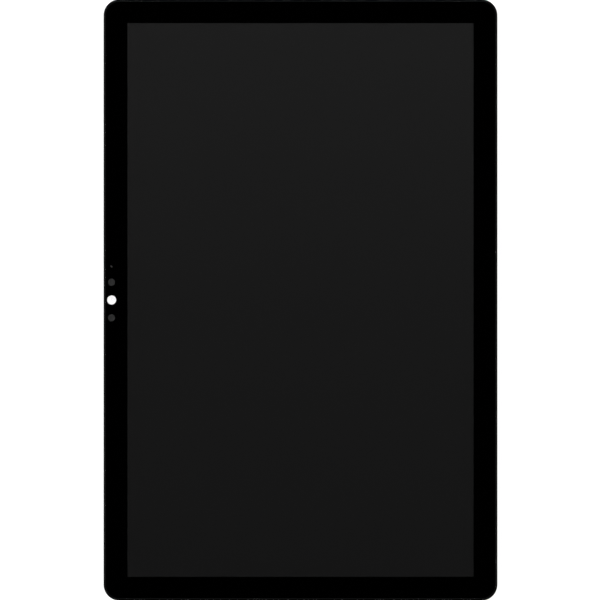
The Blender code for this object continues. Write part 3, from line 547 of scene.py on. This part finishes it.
GRAPHITE = graphite_material()
KEY_METAL = graphite_material("graphite_key", 1.15)
POLISHED = polished_material()
RIM_PLASTIC = plastic_material("rim_plastic", (0.0005, 0.0005, 0.0006), 0.19, specular=0.09)
BAND_PLASTIC = plastic_material("antenna_band_plastic", (0.060, 0.062, 0.066), 0.46)
DARK_PLASTIC = plastic_material("dark_plastic", (0.010, 0.010, 0.011), 0.42)
GLASS = glass_material()
LENS_GLASS = glass_material("lens_glass", 0.0)
COATED_LENS = coated_material()
GROUND_EDGE = plastic_material("ground_glass_edge", (0.0012, 0.0012, 0.0014), 0.34, 0.05 * MM, 0.001 * MM,
                               specular=0.16)
BORDER_INK = ink_material("border_ink_black", 0.00006)
SENSOR_INK = ink_material("sensor_ink_grey", 0.0204)
STATUS_FILM = ink_material("status_light_film", 0.0235)
SHROUD_WHITE = plastic_material("shroud_white", grey(0.75), 0.45, variation=0.02)
SCREEN = screen_material()
STEEL = sheet_metal("rolled_steel", (0.42, 0.42, 0.43), 0.34, stretch=(1.0, 0.05, 1.0))
PORT_STEEL = sheet_metal("port_steel", (0.50, 0.50, 0.51), 0.24, stretch=(1.0, 0.1, 1.0))
MESH_STEEL = sheet_metal("dark_mesh_steel", (0.07, 0.07, 0.075), 0.45)
MAGNESIUM = sheet_metal("cast_magnesium", (0.25, 0.25, 0.26), 0.55, 0.25 * MM, 0.012 * MM)
GOLD = sheet_metal("gold_plate", (0.62, 0.42, 0.15), 0.24, 0.2 * MM, 0.001 * MM)
TIN = sheet_metal("tinned_ends", (0.55, 0.55, 0.56), 0.38, 0.1 * MM, 0.004 * MM)
BOARD = board_material()
FLEX_ALONG_X = flex_material("flex_tracks_along_x", "Y")
FLEX_ALONG_Y = flex_material("flex_tracks_along_y", "X")
FOIL = foil_material()
ACRYLIC = acrylic_material()
CHIP = plastic_material("chip_epoxy", (0.013, 0.013, 0.014), 0.48, 0.08 * MM, 0.002 * MM)
WHITE_FILM = plastic_material("white_film", (0.80, 0.80, 0.78), 0.50, 0.10 * MM, 0.001 * MM, 0.03)
CERAMIC = plastic_material("ceramic_body", (0.16, 0.10, 0.055), 0.45, 0.08 * MM, 0.002 * MM, 0.2)
RUBBER = plastic_material("rubber_surround", grey(0.014), 0.62, 0.2 * MM, 0.006 * MM)
TAPE = plastic_material("amber_tape", (0.20, 0.085, 0.015), 0.30, 0.4 * MM, 0.004 * MM)


def finish(piece, material, node=None, body=ROOT):
    """Gives a piece its material, rides it on its body and hides the CAD node it stands for."""
    piece.data.materials.append(material)
    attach(piece, body)
    if node:
        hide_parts(node)


# ---- outside pieces

def opening_of(node):
    """Middle along Y and length of a key's or the tray's cap."""
    low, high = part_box(node)
    length = high.y - low.y
    if node != "card_tray":
        length -= 2 * KEY_FLANGE_REACH
    return (low.y + high.y) / 2, length


def speaker_slots():
    """The middle and the end of each slot in the short walls."""
    for end in (-1, 1):
        for side in (-1, 1):
            for slot in range(SLOT_COUNT):
                offset = (slot - (SLOT_COUNT - 1) / 2) * SLOT_PITCH
                yield side * abs(middle("speaker_upper_left").x) + offset, end


def mouth(length, height, outward, place, chamfer=0.1 * MM):
    """A cutter for a round-ended opening with a chamfered outer edge. Its place is on the wall's face."""
    section = [(0, -2.5 * WALL), (0, -chamfer), (-chamfer, 0), (-chamfer, MM)]
    return pill("mouth", length, height, section, outward, place)


def band_solid(name, end, depth, proud, width):
    """A strip that wraps the back and both sides: from its depth under the skin to proud of it."""
    half_x = CASE_HIGH.x
    above, steps = 0.3 * MM, 8

    def path(offset):
        points = [(half_x + offset, CASE_HIGH.z + offset + above)]
        points += [(half_x - BACK_EDGE + x, BACK_EDGE + z)
                   for x, z in arc((0, 0), BACK_EDGE + offset, 0, -90, steps)]
        return points + [(-x, z) for x, z in reversed(points)]

    edit = bmesh.new()
    sides = []
    for y in (end * BAND_PLACE - width / 2, end * BAND_PLACE + width / 2):
        sides.append([[edit.verts.new((x, y, z)) for x, z in path(offset)] for offset in (proud, -depth)])
    (a_out, a_in), (b_out, b_in) = sides
    for i in range(len(a_out) - 1):
        edit.faces.new((a_out[i], a_out[i + 1], b_out[i + 1], b_out[i]))
        edit.faces.new((a_in[i], b_in[i], b_in[i + 1], a_in[i + 1]))
        edit.faces.new((a_out[i], a_in[i], a_in[i + 1], a_out[i + 1]))
        edit.faces.new((b_out[i], b_out[i + 1], b_in[i + 1], b_in[i]))
    for i in (0, -1):
        edit.faces.new((a_out[i], b_out[i], b_in[i], a_in[i]))
    return new_object(name, edit)


def make_rear_shell():
    """The metal shell with its rounded back edge and every opening, each with a small chamfer."""
    floor, top = CASE_LOW.z, CASE_HIGH.z
    half_x, half_y = CASE_HIGH.x, CASE_HIGH.y
    lip = 0.2 * MM
    edge_centre = (BACK_EDGE, floor + BACK_EDGE)
    section = [(BACK_EDGE + 0.02 * MM, floor)] + arc(edge_centre, BACK_EDGE, 270, 180, 12)
    section += [(0, top - lip), (lip * 0.35, top - lip * 0.1), (lip, top), (WALL - lip * 0.5, top),
                (WALL, top - lip * 0.5)]
    section += arc(edge_centre, BACK_EDGE - WALL, 180, 270, 6)
    shell = sweep("rear_shell", half_x, half_y, CASE_RADIUS, section)
    cutters = []
    gaps = 2 * KEY_GAP
    for node in ("power_key", "volume_key", "card_tray"):
        centre, length = opening_of(node)
        cutters.append(mouth(length + gaps, KEY_HEIGHT + gaps, LEFT, (-half_x, centre, PORT_Z)))
    port = extent("usb_c_port")
    port_chamfer = 0.18 * MM
    cutters.append(mouth(port.x + gaps, port.z + gaps, BACK, (0, half_y, PORT_Z), port_chamfer))
    for x, end in speaker_slots():
        cutters.append(mouth(SLOT_LENGTH, SLOT_HEIGHT, (0, end, 0), (x, end * half_y, PORT_Z)))
    cutters.append(mouth(*MICROPHONE_HOLE, BACK, (middle("microphone").x, half_y, PORT_Z)))
    where, radius = round_box("rear_camera_ring")[:2]
    radius += 0.06 * MM
    chamfer, below, above = 0.12 * MM, -MM, 2 * MM
    cutters.append(turned("camera_mouth", [(0, below), (radius + chamfer, below), (radius + chamfer, 0),
                                           (radius, chamfer), (radius, above), (0, above)], where))
    cutters += [band_solid("band_groove", end, BAND_DEPTH, 0.4 * MM, BAND_WIDTH) for end in (-1, 1)]
    combine(shell, cutters)
    bosses = []
    boss, foot = 1.6 * MM, 1.8 * MM
    root, waist, deep = 0.5 * MM, 1.0 * MM, 1.3 * MM
    seat = FRAME_UNDERSIDE - SEAM
    for number in range(1, SCREW_COUNT + 1):
        where, head = round_box(f"screw_{number}")[:2]
        bore = head - 0.3 * MM
        bosses.append(turned("boss", [(0, deep), (bore, deep), (bore, seat), (boss, seat), (boss, waist),
                                      (foot, root), (0, root)], where, 32))
    combine(shell, bosses, "UNION")
    finish(shell, GRAPHITE, "rear_cover")


def make_bands():
    """Plastic inlays that let the aerials through the metal, flush with its skin."""
    for name, end in (("antenna_band_upper", 1), ("antenna_band_lower", -1)):
        band = band_solid(name, end, BAND_DEPTH - 0.02 * MM, -0.015 * MM, BAND_WIDTH - 0.04 * MM)
        combine(band, [box("trim", (-1, -1, CASE_HIGH.z - 0.05 * MM), (1, 1, 1))])
        finish(band, BAND_PLASTIC)


def make_rim():
    """The black ring: a softly rounded outer edge, the glass seat and the ledge under it."""
    low, high = RIM_LOW, RIM_HIGH
    skirt = CASE_HIGH.z + SEAM
    inner_wall = RIM_HIGH.x - CASE_HIGH.x + WALL + SEAM
    ledge_edge = inner_wall + 1.5 * MM
    edge, small, foot = 0.10 * MM, 0.03 * MM, 0.12 * MM
    section = [(0.3 * MM, skirt), (foot, skirt), (0, skirt + foot)]
    section += arc((edge, high.z - edge), edge, 180, 90, 6)
    section += [(RIM_WIDTH - small, high.z), (RIM_WIDTH, high.z - small), (RIM_WIDTH, LEDGE_TOP),
                (ledge_edge, LEDGE_TOP), (ledge_edge, low.z), (inner_wall, low.z), (inner_wall, skirt)]
    rim = sweep("rim_ring", high.x, high.y, CORNER_RADIUS, section, closed=True)
    wall_face = -CASE_HIGH.x + WALL
    combine(rim, [box("camera_notch", (wall_face - 0.35 * MM, -10.5 * MM, 4.5 * MM),
                      (wall_face + 1.9 * MM, 16.5 * MM, LEDGE_TOP + 0.1 * MM))])
    finish(rim, RIM_PLASTIC, "front_rim")


def make_glass():
    """The cover glass, with its edges ground round."""
    edge, under = 0.10 * MM, 0.08 * MM
    low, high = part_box("cover_glass")
    section = [(under, low.z), (0, low.z + under)] + arc((edge, high.z - edge), edge, 180, 90, 8)
    glass = sweep("front_glass_sheet", high.x, high.y, CORNER_RADIUS - RIM_WIDTH - SEAM, section)
    finish(glass, GLASS, "cover_glass")
    glass.data.materials.append(GROUND_EDGE)
    for face in glass.data.polygons:
        if abs(face.normal.z) < 0.98:
            face.material_index = 1


def make_print():
    """The black ink on the glass's inner face, open over the screen, the camera and the sensors."""
    low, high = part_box("border_print")
    ink = sweep("border_ink_sheet", high.x, high.y, CORNER_RADIUS - RIM_WIDTH - 3 * SEAM,
                [(0, low.z), (0, high.z)])
    windows = (("sensor_window_upper", "light_sensor_window"),
               ("sensor_window_lower", "proximity_sensor_window"))
    holes = [(middle("front_camera_shroud") + Vector((0.08 * MM, 0, 0)),
              extent("front_camera_shroud").x / 2 - 0.29 * MM)]
    holes += [(middle(node), extent(node).x / 2 + 0.02 * MM) for node, name in windows]
    holes.append((middle("status_light"), 0.45 * MM))
    cutters = [box("screen_hole", (-SCREEN_HALF_X, -SCREEN_HALF_Y, low.z - MM),
                   (SCREEN_HALF_X, SCREEN_HALF_Y, high.z + MM))]
    cutters += [disc("hole", size, low.z - MM, high.z + MM, where) for where, size in holes]
    combine(ink, cutters)
    finish(ink, BORDER_INK, "border_print")
    for node, name in windows:
        finish(disc(name, extent(node).x / 2, low.z, high.z, middle(node)), SENSOR_INK, node)


def make_front_camera():
    """The white shroud behind the round window: a stepped cone with the small clear lens in its floor."""
    where, radius, bottom, top = round_box("front_camera_shroud")
    hole, floor, edge = 0.5 * MM, bottom + 0.04 * MM, 0.05 * MM
    profile = [(0, bottom), (radius, bottom), (radius, top - edge), (radius - edge, top),
               (radius - 0.35 * MM, top), (radius - 0.5 * MM, top - 0.08 * MM),
               (1.1 * MM, top - 0.16 * MM), (1.0 * MM, top - 0.24 * MM),
               (hole + 0.06 * MM, bottom + 0.10 * MM), (hole, floor), (0, floor)]
    shroud = turned("camera_shroud_cone", profile, where, 96)
    finish(shroud, SHROUD_WHITE, "front_camera_shroud")
    _, radius, bottom, top = round_box("front_camera_lens")
    shoulder = bottom + 0.03 * MM
    profile = [(0, bottom), (radius, bottom), (radius, shoulder)] + dome(radius, shoulder, top - shoulder)
    finish(turned("camera_lens_dome", profile, where, 48), LENS_GLASS, "front_camera_lens")


def make_key(node, name):
    """A metal key with softly rounded edges, in one piece with the flange behind the wall."""
    low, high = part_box(node)
    centre, length = opening_of(node)
    flange = high.x - 0.5 * MM
    reach = flange - low.x
    edge = 0.25 * MM
    section = [(0, -0.1 * MM), (0, reach - edge)] + arc((edge, reach - edge), edge, 180, 90, 6)[1:]
    cap = pill(name, length, KEY_HEIGHT, section, LEFT, (flange, centre, PORT_Z), steps=16)
    combine(cap, [box("flange", (flange, low.y, low.z), high, 0.1 * MM)], "UNION")
    finish(cap, KEY_METAL, node, body=node)


def make_tray():
    """The card tray: a cap flush with the wall, a pin hole, and the frame with its card pocket."""
    low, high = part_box("card_tray")
    centre, length = opening_of("card_tray")
    cap_depth, edge = 1.0 * MM, 0.08 * MM
    inner = low.x + cap_depth
    section = [(0, 0), (0, cap_depth - edge), (edge, cap_depth)]
    tray = pill("card_tray_slider", length, KEY_HEIGHT, section, LEFT, (inner, centre, PORT_Z), steps=16)
    frame_y = centre - 1.3 * MM

    def block(name, start, end, half, bottom, top, *rounding):
        return box(name, (start, frame_y - half, PORT_Z + bottom),
                   (end, frame_y + half, PORT_Z + top), *rounding)

    thick, above = 0.35 * MM, MM
    plate = block("tray_frame", inner - 0.1 * MM, high.x, 6.4 * MM, -thick, thick, 0.12 * MM, 3)
    combine(tray, [plate], "UNION")
    pocket = block("pocket", low.x + 5 * MM, low.x + 20.4 * MM, 5.6 * MM, -above, above)
    step = block("step", low.x + 4.6 * MM, low.x + 20.8 * MM, 5.9 * MM, 0.1 * MM, above)
    radius, chamfer = 0.45 * MM, 0.06 * MM
    pin = turned("pin", [(0, -2 * MM), (radius, -2 * MM), (radius, -chamfer), (radius + chamfer, 0),
                         (radius + chamfer, above), (0, above)], (0, 0), 32)
    stand_on_wall(pin, LEFT, (low.x, centre + length / 2 - 1.4 * MM, PORT_Z))
    for cutter in (pocket, step, pin):
        combine(tray, [cutter])
    finish(tray, KEY_METAL, "card_tray", body="card_tray")


def make_camera():
    """The rear camera: polished trim ring, cover window, and the lens barrel behind it."""
    where, outer, bottom, top = round_box("rear_camera_ring")
    inner = outer - 0.9 * MM
    edge = 0.12 * MM
    profile = [(inner, top), (outer, top), (outer, bottom + edge), (outer - edge, bottom),
               (inner + 0.42 * MM, bottom), (inner + 0.36 * MM, bottom + 0.03 * MM),
               (inner + 0.08 * MM, bottom + 0.24 * MM), (inner, bottom + 0.3 * MM)]
    ring = turned("camera_trim_ring", profile, where, 128, closed=True)
    finish(ring, POLISHED, "rear_camera_ring")

    _, radius, bottom, top = round_box("rear_camera_window")
    edge = 0.06 * MM
    window = turned("camera_cover_window", [(0, bottom), (radius - edge, bottom), (radius, bottom + edge),
                                            (radius, top), (0, top)], where, 96)
    finish(window, LENS_GLASS, "rear_camera_window")

    _, radius, bottom, top = round_box("rear_camera_barrel")
    edge, small = 0.1 * MM, 0.05 * MM
    profile = [(0, top), (radius - edge, top), (radius, top - edge), (radius, bottom + small),
               (radius - small, bottom)]
    rings, tread, rise = 5, 0.17 * MM, 0.09 * MM
    for step in range(rings):
        r = radius - 0.25 * MM - step * tread
        profile += [(r, bottom + step * rise), (r, bottom + (step + 1) * rise)]
    floor = bottom + rings * rise
    profile += [(0.85 * MM, floor), (0, floor)]
    finish(turned("lens_barrel", profile, where, 96), DARK_PLASTIC, "rear_camera_barrel",
           body="focus_barrel")
    lens, foot = 0.82 * MM, floor - 0.01 * MM
    profile = [(0, foot), (lens, foot)] + dome(lens, floor - 0.02 * MM, -0.2 * MM)
    finish(turned("lens_element", profile, where), COATED_LENS, body="focus_barrel")


# ---- inner pieces

def add_block(edit, low, high, material=0):
    """Adds a plain block to a mesh under construction."""
    low, high = Vector(low), Vector(high)
    made = bmesh.ops.create_cube(edit, size=1, matrix=Matrix.Translation((low + high) / 2)
                                 @ Matrix.Diagonal((*(high - low), 1)))
    for face in {face for vert in made["verts"] for face in vert.link_faces}:
        face.material_index = material


def make_port():
    """The USB-C socket: a drawn steel shell with a rolled mouth, the tongue and its 24 contacts."""
    low, high = PORT_LOW, PORT_HIGH
    size = high - low
    skin, lip, corner, floor = 0.25 * MM, 0.08 * MM, 0.1 * MM, 0.4 * MM
    section = [(corner, -size.y), (0, corner - size.y), (0, -lip), (lip, 0), (skin - lip, 0), (skin, -lip),
               (skin, floor - size.y)]
    shell = pill("usb_shell", size.x, size.z, section, BACK, (0, high.y, PORT_Z))
    finish(shell, PORT_STEEL, "usb_c_port")
    half_x, half_z = 3.3 * MM, 0.35 * MM
    back, front = low.y + 0.35 * MM, high.y - 1.6 * MM
    tongue = box("usb_tongue", (-half_x, back, PORT_Z - half_z), (half_x, front, PORT_Z + half_z),
                 0.12 * MM, 3)
    finish(tongue, DARK_PLASTIC)
    edit = bmesh.new()
    count, pitch, half_pad, proud = 12, 0.5 * MM, 0.13 * MM, 0.03 * MM
    start, end = front - 3.2 * MM, front - 0.5 * MM
    for side in (-1, 1):
        bottom, top = sorted((PORT_Z + side * (half_z - proud), PORT_Z + side * (half_z + proud)))
        for place in range(count):
            x = (place - (count - 1) / 2) * pitch
            add_block(edit, (x - half_pad, start, bottom), (x + half_pad, end, top))
    finish(new_object("usb_contacts", edit), GOLD)


def make_mesh_strip(name, low, high, pitch, hole=0.17 * MM, corners=8):
    """A thin strip standing along X, pierced by rows of round holes."""
    columns = round((high.x - low.x) / pitch)
    rows = round((high.z - low.z) / pitch)
    quarter = corners // 4
    edit = bmesh.new()
    sides = []
    for y in (low.y, high.y):
        grid = {(column, row): edit.verts.new((low.x + column * pitch, y, low.z + row * pitch))
                for column in range(columns + 1) for row in range(rows + 1)}
        rings = {}
        for column in range(columns):
            for row in range(rows):
                x, z = low.x + (column + 0.5) * pitch, low.z + (row + 0.5) * pitch
                ring = []
                for step in range(corners):
                    angle = 2 * math.pi * (step + 0.5) / corners - 3 * math.pi / 4
                    ring.append(edit.verts.new((x + hole * math.cos(angle), y, z + hole * math.sin(angle))))
                rings[column, row] = ring
                around = [grid[column, row], grid[column + 1, row], grid[column + 1, row + 1],
                          grid[column, row + 1]]
                for side in range(4):
                    near = [ring[(side * quarter + step) % corners] for step in range(quarter + 1)]
                    edit.faces.new([around[side], around[(side + 1) % 4]] + near[::-1])
        sides.append((grid, rings))
    (front_grid, front_rings), (back_grid, back_rings) = sides
    for key, near in front_rings.items():
        far = back_rings[key]
        for step in range(corners):
            after = (step + 1) % corners
            edit.faces.new((near[step], near[after], far[after], far[step]))
    border = [(column, 0) for column in range(columns)] + [(columns, row) for row in range(rows)]
    border += [(column, rows) for column in range(columns, 0, -1)] + [(0, row) for row in range(rows, 0, -1)]
    for start, end in zip(border, border[1:] + border[:1]):
        edit.faces.new((front_grid[start], front_grid[end], back_grid[end], back_grid[start]))
    return new_object(name, edit)


def make_speaker(node):
    """A speaker box with a sound channel, its driver and the pierced strip behind the slots."""
    low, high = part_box(node)
    end = 1 if low.y > 0 else -1
    side = 1 if low.x > 0 else -1
    centre = (low.x + high.x) / 2
    inner_y, outer = (low.y, high.y) if end > 0 else (high.y, low.y)
    snout_reach = 1.7 * MM
    back, front = sorted((inner_y, outer - end * snout_reach))

    def along_wall(name, half, start, stop, bottom, top, *rounding):
        """A box across the sound channel, from start to stop inwards of the speaker's end."""
        near, far = sorted((outer - end * start, outer - end * stop))
        return box(name, (centre - half, near, PORT_Z + bottom),
                   (centre + half, far, PORT_Z + top), *rounding)

    body = box(node + "_box", (low.x, back, low.z), (high.x, front, high.z), 0.35 * MM, 3)
    half = SLOT_PITCH * SLOT_COUNT / 2 - 0.2 * MM
    combine(body, [along_wall("snout", half, 0, 5 * MM, -0.95 * MM, 0.6 * MM, 0.15 * MM, 2)], "UNION")
    channel = along_wall("channel", half - 0.5 * MM, -MM, 3 * MM, -0.6 * MM, 0.35 * MM)
    driver = (centre - side * 5 * MM, (back + front) / 2)
    radius, well_floor, above = 4.2 * MM, high.z - 0.4 * MM, high.z + MM
    well = turned("well", [(0, well_floor), (radius, well_floor), (radius + 0.1 * MM, above), (0, above)],
                  driver, 48)
    combine(body, [channel, well])
    finish(body, DARK_PLASTIC, node)

    floor = high.z - 0.38 * MM
    basket, surround, roll, cap = radius - 0.05 * MM, radius - 0.5 * MM, 0.45 * MM, 1.5 * MM
    rim, cone, foot = floor + 0.14 * MM, floor + 0.12 * MM, floor + 0.06 * MM
    bulge = 0.2 * MM
    profile = [(0, floor), (basket, floor), (basket, rim), (surround, rim)]
    profile += [(surround - roll + roll * math.cos(a), cone + bulge * math.sin(a))
                for a in (math.pi * step / 8 for step in range(1, 8))]
    profile += [(surround - 2 * roll, cone), (cap, foot)] + dome(cap, foot, bulge, 6)
    finish(turned(node + "_driver", profile, driver), RUBBER)

    pitch, columns, rows = 0.5 * MM, 46, 3
    near, far = sorted((outer + end * 0.05 * MM, outer + end * 0.17 * MM))
    reach = Vector((columns / 2 * pitch, 0, rows / 2 * pitch))
    strip = make_mesh_strip(node + "_mesh", Vector((centre, near, PORT_Z)) - reach,
                            Vector((centre, far, PORT_Z)) + reach, pitch)
    finish(strip, MESH_STEEL)


def make_screw(node):
    """A pan-head screw with a cross recess and a rolled thread."""
    where, head, bottom, top = round_box(node)
    shank = head - 0.5 * MM
    core = shank - 0.1 * MM
    seat = top - 0.5 * MM
    pitch, crown, edge = 0.3 * MM, 0.2 * MM, 0.05 * MM
    profile = [(0, top)] + arc((head - crown, top - crown), crown, 90, 0, 5)
    profile += [(head, seat + edge), (head - edge, seat), (shank - 0.08 * MM, seat)]
    for turn in range(int((seat - 0.3 * MM - bottom) / pitch)):
        z = seat - 0.1 * MM - turn * pitch
        profile += [(core, z), (shank, z - 0.4 * pitch), (shank, z - 0.5 * pitch), (core, z - 0.9 * pitch)]
    profile += [(0.2 * MM, bottom), (0, bottom)]
    screw = turned(node + "_cross_head", profile[::-1], where, 40)
    arm, half, deep = 0.55 * MM, 0.1 * MM, 0.32 * MM
    for half_x, half_y in ((arm, half), (half, arm)):
        combine(screw, [box("slot", (where.x - half_x, where.y - half_y, top - deep),
                            (where.x + half_x, where.y + half_y, top + MM), 0.03 * MM)])
    finish(screw, STEEL, node)


def make_cell(node):
    """A pouch cell: a soft-edged body, its folded side seams, and a sealed ledge under amber tape."""
    low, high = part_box(node)
    ledge, overlap = 3.2 * MM, MM
    body_low, body_high = low.copy(), high.copy()
    if low.y > 0:
        body_low.y += ledge
        start, stop = low.y, body_low.y + overlap
    else:
        body_high.y -= ledge
        start, stop = body_high.y - overlap, high.y
    half = (body_high - body_low) / 2
    centre = (body_low + body_high) / 2
    side, soft = 0.5 * MM, 0.9 * MM
    section = [(side + soft, -half.z)] + arc((side + soft, soft - half.z), soft, 260, 180, 5)
    section += arc((side + soft, half.z - soft), soft, 180, 95, 5)
    section += [(side + 4 * MM, half.z - 0.02 * MM), (side + 9 * MM, half.z)]
    body = sweep(node + "_pouch", half.x, half.y, 3.5 * MM, section, steps=8)
    body.data.transform(Matrix.Translation(centre))

    def block(name, low_x, high_x, low_y, high_y, bottom, top, *rounding):
        return box(name, (low_x, low_y, centre.z + bottom), (high_x, high_y, centre.z + top), *rounding)

    seam_half, seam_height, trim = 0.3 * MM, 1.1 * MM, 3 * MM
    for end in (-1, 1):
        x = centre.x + end * (half.x - 0.35 * MM)
        seam = block("seam", x - seam_half, x + seam_half, body_low.y + trim, body_high.y - trim,
                     -seam_height, seam_height, 0.2 * MM, 3)
        combine(body, [seam], "UNION")
    seal = 0.15 * MM
    combine(body, [block("ledge", low.x + trim, high.x - trim, start, stop, -seal, seal, 0.06 * MM)], "UNION")
    finish(body, FOIL, node)
    width, margin, inset = 2.2 * MM, 0.1 * MM, 6 * MM
    tape_low = start if low.y > 0 else stop - width
    tape = block(node + "_tape", low.x + inset, high.x - inset, tape_low + margin, tape_low + width - margin,
                 0.17 * MM, 0.24 * MM, 0.03 * MM)
    finish(tape, TAPE)


def make_components(name, board, count, seed, keep_clear):
    """Small soldered parts scattered over a board's free area: ceramic or black bodies, tinned ends."""
    low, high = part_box(board)
    margin, grid, base = 0.4 * MM, 0.5 * MM, high.z + 0.02 * MM
    ceramic, black, tinned = range(3)
    small, medium, large = (1.0, 0.5, 0.45), (1.6, 0.8, 0.7), (2.0, 1.6, 0.75)
    end = 0.22
    blocked = [(a.x - margin, a.y - margin, b.x + margin, b.y + margin)
               for a, b in (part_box(node) for node in keep_clear)]
    draw = random.Random(seed)
    edit = bmesh.new()
    placed = []
    for _ in range(count * 6):
        if len(placed) == count:
            break
        length, width, tall = draw.choice((small, small, medium, large))
        along_x = draw.random() < 0.5
        half_x, half_y = (length, width) if along_x else (width, length)
        half_x, half_y, tall = half_x * MM / 2, half_y * MM / 2, tall * MM
        x = round(draw.uniform(low.x + half_x + margin, high.x - half_x - margin) / grid) * grid
        y = round(draw.uniform(low.y + half_y + margin, high.y - half_y - margin) / grid) * grid
        gap = margin / 2
        spot = (x - half_x - gap, y - half_y - gap, x + half_x + gap, y + half_y + gap)
        if any(spot[0] < z[2] and spot[2] > z[0] and spot[1] < z[3] and spot[3] > z[1]
               for z in placed + blocked):
            continue
        placed.append(spot)
        body = ceramic if tall < 0.6 * MM else black
        for start, stop, material in ((-1, end - 1, tinned), (end - 1, 1 - end, body), (1 - end, 1, tinned)):
            inset = 0.0 if material == tinned else 0.02 * MM
            if along_x:
                from_x, to_x, from_y, to_y = start * half_x, stop * half_x, inset - half_y, half_y - inset
            else:
                from_x, to_x, from_y, to_y = inset - half_x, half_x - inset, start * half_y, stop * half_y
            add_block(edit, (x + from_x, y + from_y, base), (x + to_x, y + to_y, base + tall - inset),
                      material)
    made = new_object(name, edit)
    finish(made, CERAMIC)
    made.data.materials.append(CHIP)
    made.data.materials.append(TIN)


CARRIED = (
    (("display_panel",), SCREEN), (("status_light",), STATUS_FILM),
    (("diffuser_sheet", "reflector_sheet", "led_bar"), WHITE_FILM), (("light_guide",), ACRYLIC),
    (("display_tray", "processor_shield", "radio_shield", "card_reader", "power_switch", "volume_up_switch",
      "volume_down_switch"), STEEL),
    (("mid_frame",), MAGNESIUM), (("main_board", "battery_board", "usb_board", "sensor_board"), BOARD),
    (("processor", "memory_chip", "power_chip", "radio_chip", "front_camera", "light_sensor",
      "proximity_sensor", "rear_camera"), CHIP),
    (("battery_lead",), DARK_PLASTIC), (("display_flex", "antenna_upper", "antenna_lower"), FLEX_ALONG_X),
    (("main_flex", "key_flex"), FLEX_ALONG_Y), (("microphone",), GOLD),
)


def dress_carried_nodes():
    """Gives every CAD node that stays its own procedural material."""
    for nodes, material in CARRIED:
        for node in nodes:
            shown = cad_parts[node]
            shown.data.materials.clear()
            shown.data.materials.append(material)


# ---- stage

def make_floor():
    """A plain white floor, see-through from below so that the back of the tablet can be looked at."""
    edit = bmesh.new()
    bmesh.ops.create_grid(edit, x_segments=1, y_segments=1, size=6)
    floor = new_object("floor", edit)
    floor.location.z = CASE_LOW.z - 0.05 * MM
    made, tree, shader = new_material("floor_white")
    feed(tree, shader, {"Base Color": (*grey(FLOOR_TONE), 1), "Roughness": 0.9, "Specular IOR Level": 0.1,
                        "Emission Color": (1, 1, 1, 1), "Emission Strength": FLOOR_GLOW})
    under = add(tree, "ShaderNodeNewGeometry").outputs["Backfacing"]
    clear = add(tree, "ShaderNodeBsdfTransparent")
    show(tree, add(tree, "ShaderNodeMixShader", {0: under, 1: shader.outputs[0], 2: clear.outputs[0]}))
    floor.data.materials.append(made)
    for ray in ("visible_diffuse", "visible_glossy", "visible_transmission", "visible_shadow"):
        setattr(floor, ray, False)


def make_world():
    """White all round and below, and dark straight up, so that the glass facing up stays black."""
    world = bpy.data.worlds.new("studio")
    bpy.context.scene.world = world
    world.use_nodes = True
    tree = world.node_tree
    where = add(tree, "ShaderNodeTexCoord").outputs["Generated"]
    height = add(tree, "ShaderNodeSeparateXYZ", {0: where}).outputs["Z"]
    stops = ((0.0, 0.85), (0.48, 0.95), (0.52, 1.0), (0.80, 0.62), (0.93, 0.20), (0.97, 0.0))
    sky = shades(tree, spread(tree, height, 0.0, 1.0, -1.0, 1.0), [(at, grey(tone)) for at, tone in stops])
    feed(tree, tree.nodes["Background"], {"Color": sky, "Strength": WORLD_STRENGTH})


def make_light(name, place, power):
    """A soft box that looks at the tablet."""
    lamp = bpy.data.lights.new(name, "AREA")
    lamp.shape = "RECTANGLE"
    lamp.size, lamp.size_y = LAMP_SIZE
    lamp.energy = power
    holder = link(name, lamp)
    holder.location = place
    holder.rotation_euler = (-Vector(place)).to_track_quat("-Z", "Y").to_euler()


def make_camera_view():
    """Straight above the screen, with the tablet's length just filling the picture's height."""
    lens, sensor = 200.0, 36.0
    outline_height = RIM_HIGH.z - 0.3 * MM
    picture, overlap = 600, 1.1
    away = RIM_HIGH.y / (sensor / 2 / lens) * picture / (picture + overlap)
    half_pixel = (RIM_HIGH.y - RIM_LOW.y) / picture / 2
    data = bpy.data.cameras.new("camera")
    data.lens, data.sensor_width = lens, sensor
    data.clip_start, data.clip_end = 0.1, 50
    holder = link("camera", data)
    holder.location = (-half_pixel, 0, outline_height + away)
    bpy.context.scene.camera = holder


make_rear_shell()
make_bands()
make_rim()
make_glass()
make_print()
make_front_camera()
for key, name in (("power_key", "power_button"), ("volume_key", "volume_rocker")):
    make_key(key, name)
make_tray()
make_camera()
make_port()
for end in ("upper", "lower"):
    for side in ("left", "right"):
        make_speaker(f"speaker_{end}_{side}")
for number in range(1, SCREW_COUNT + 1):
    make_screw(f"screw_{number}")
for end in ("upper", "lower"):
    make_cell(f"battery_cell_{end}")
make_components("main_board_parts", "main_board", 230, 7,
                ("processor_shield", "radio_shield", "power_chip", "card_reader", "display_flex",
                 "battery_lead", "main_flex"))
make_components("usb_board_parts", "usb_board", 40, 8, ("usb_c_port", "microphone"))
make_components("battery_board_parts", "battery_board", 22, 9, ("battery_lead",))
make_components("sensor_board_parts", "sensor_board", 10, 10,
                ("light_sensor", "proximity_sensor", "status_light", "front_camera"))
dress_carried_nodes()

make_floor()
make_world()
for lamp in LAMPS:
    make_light(*lamp)
make_camera_view()
bpy.context.scene.view_settings.view_transform = "Standard"
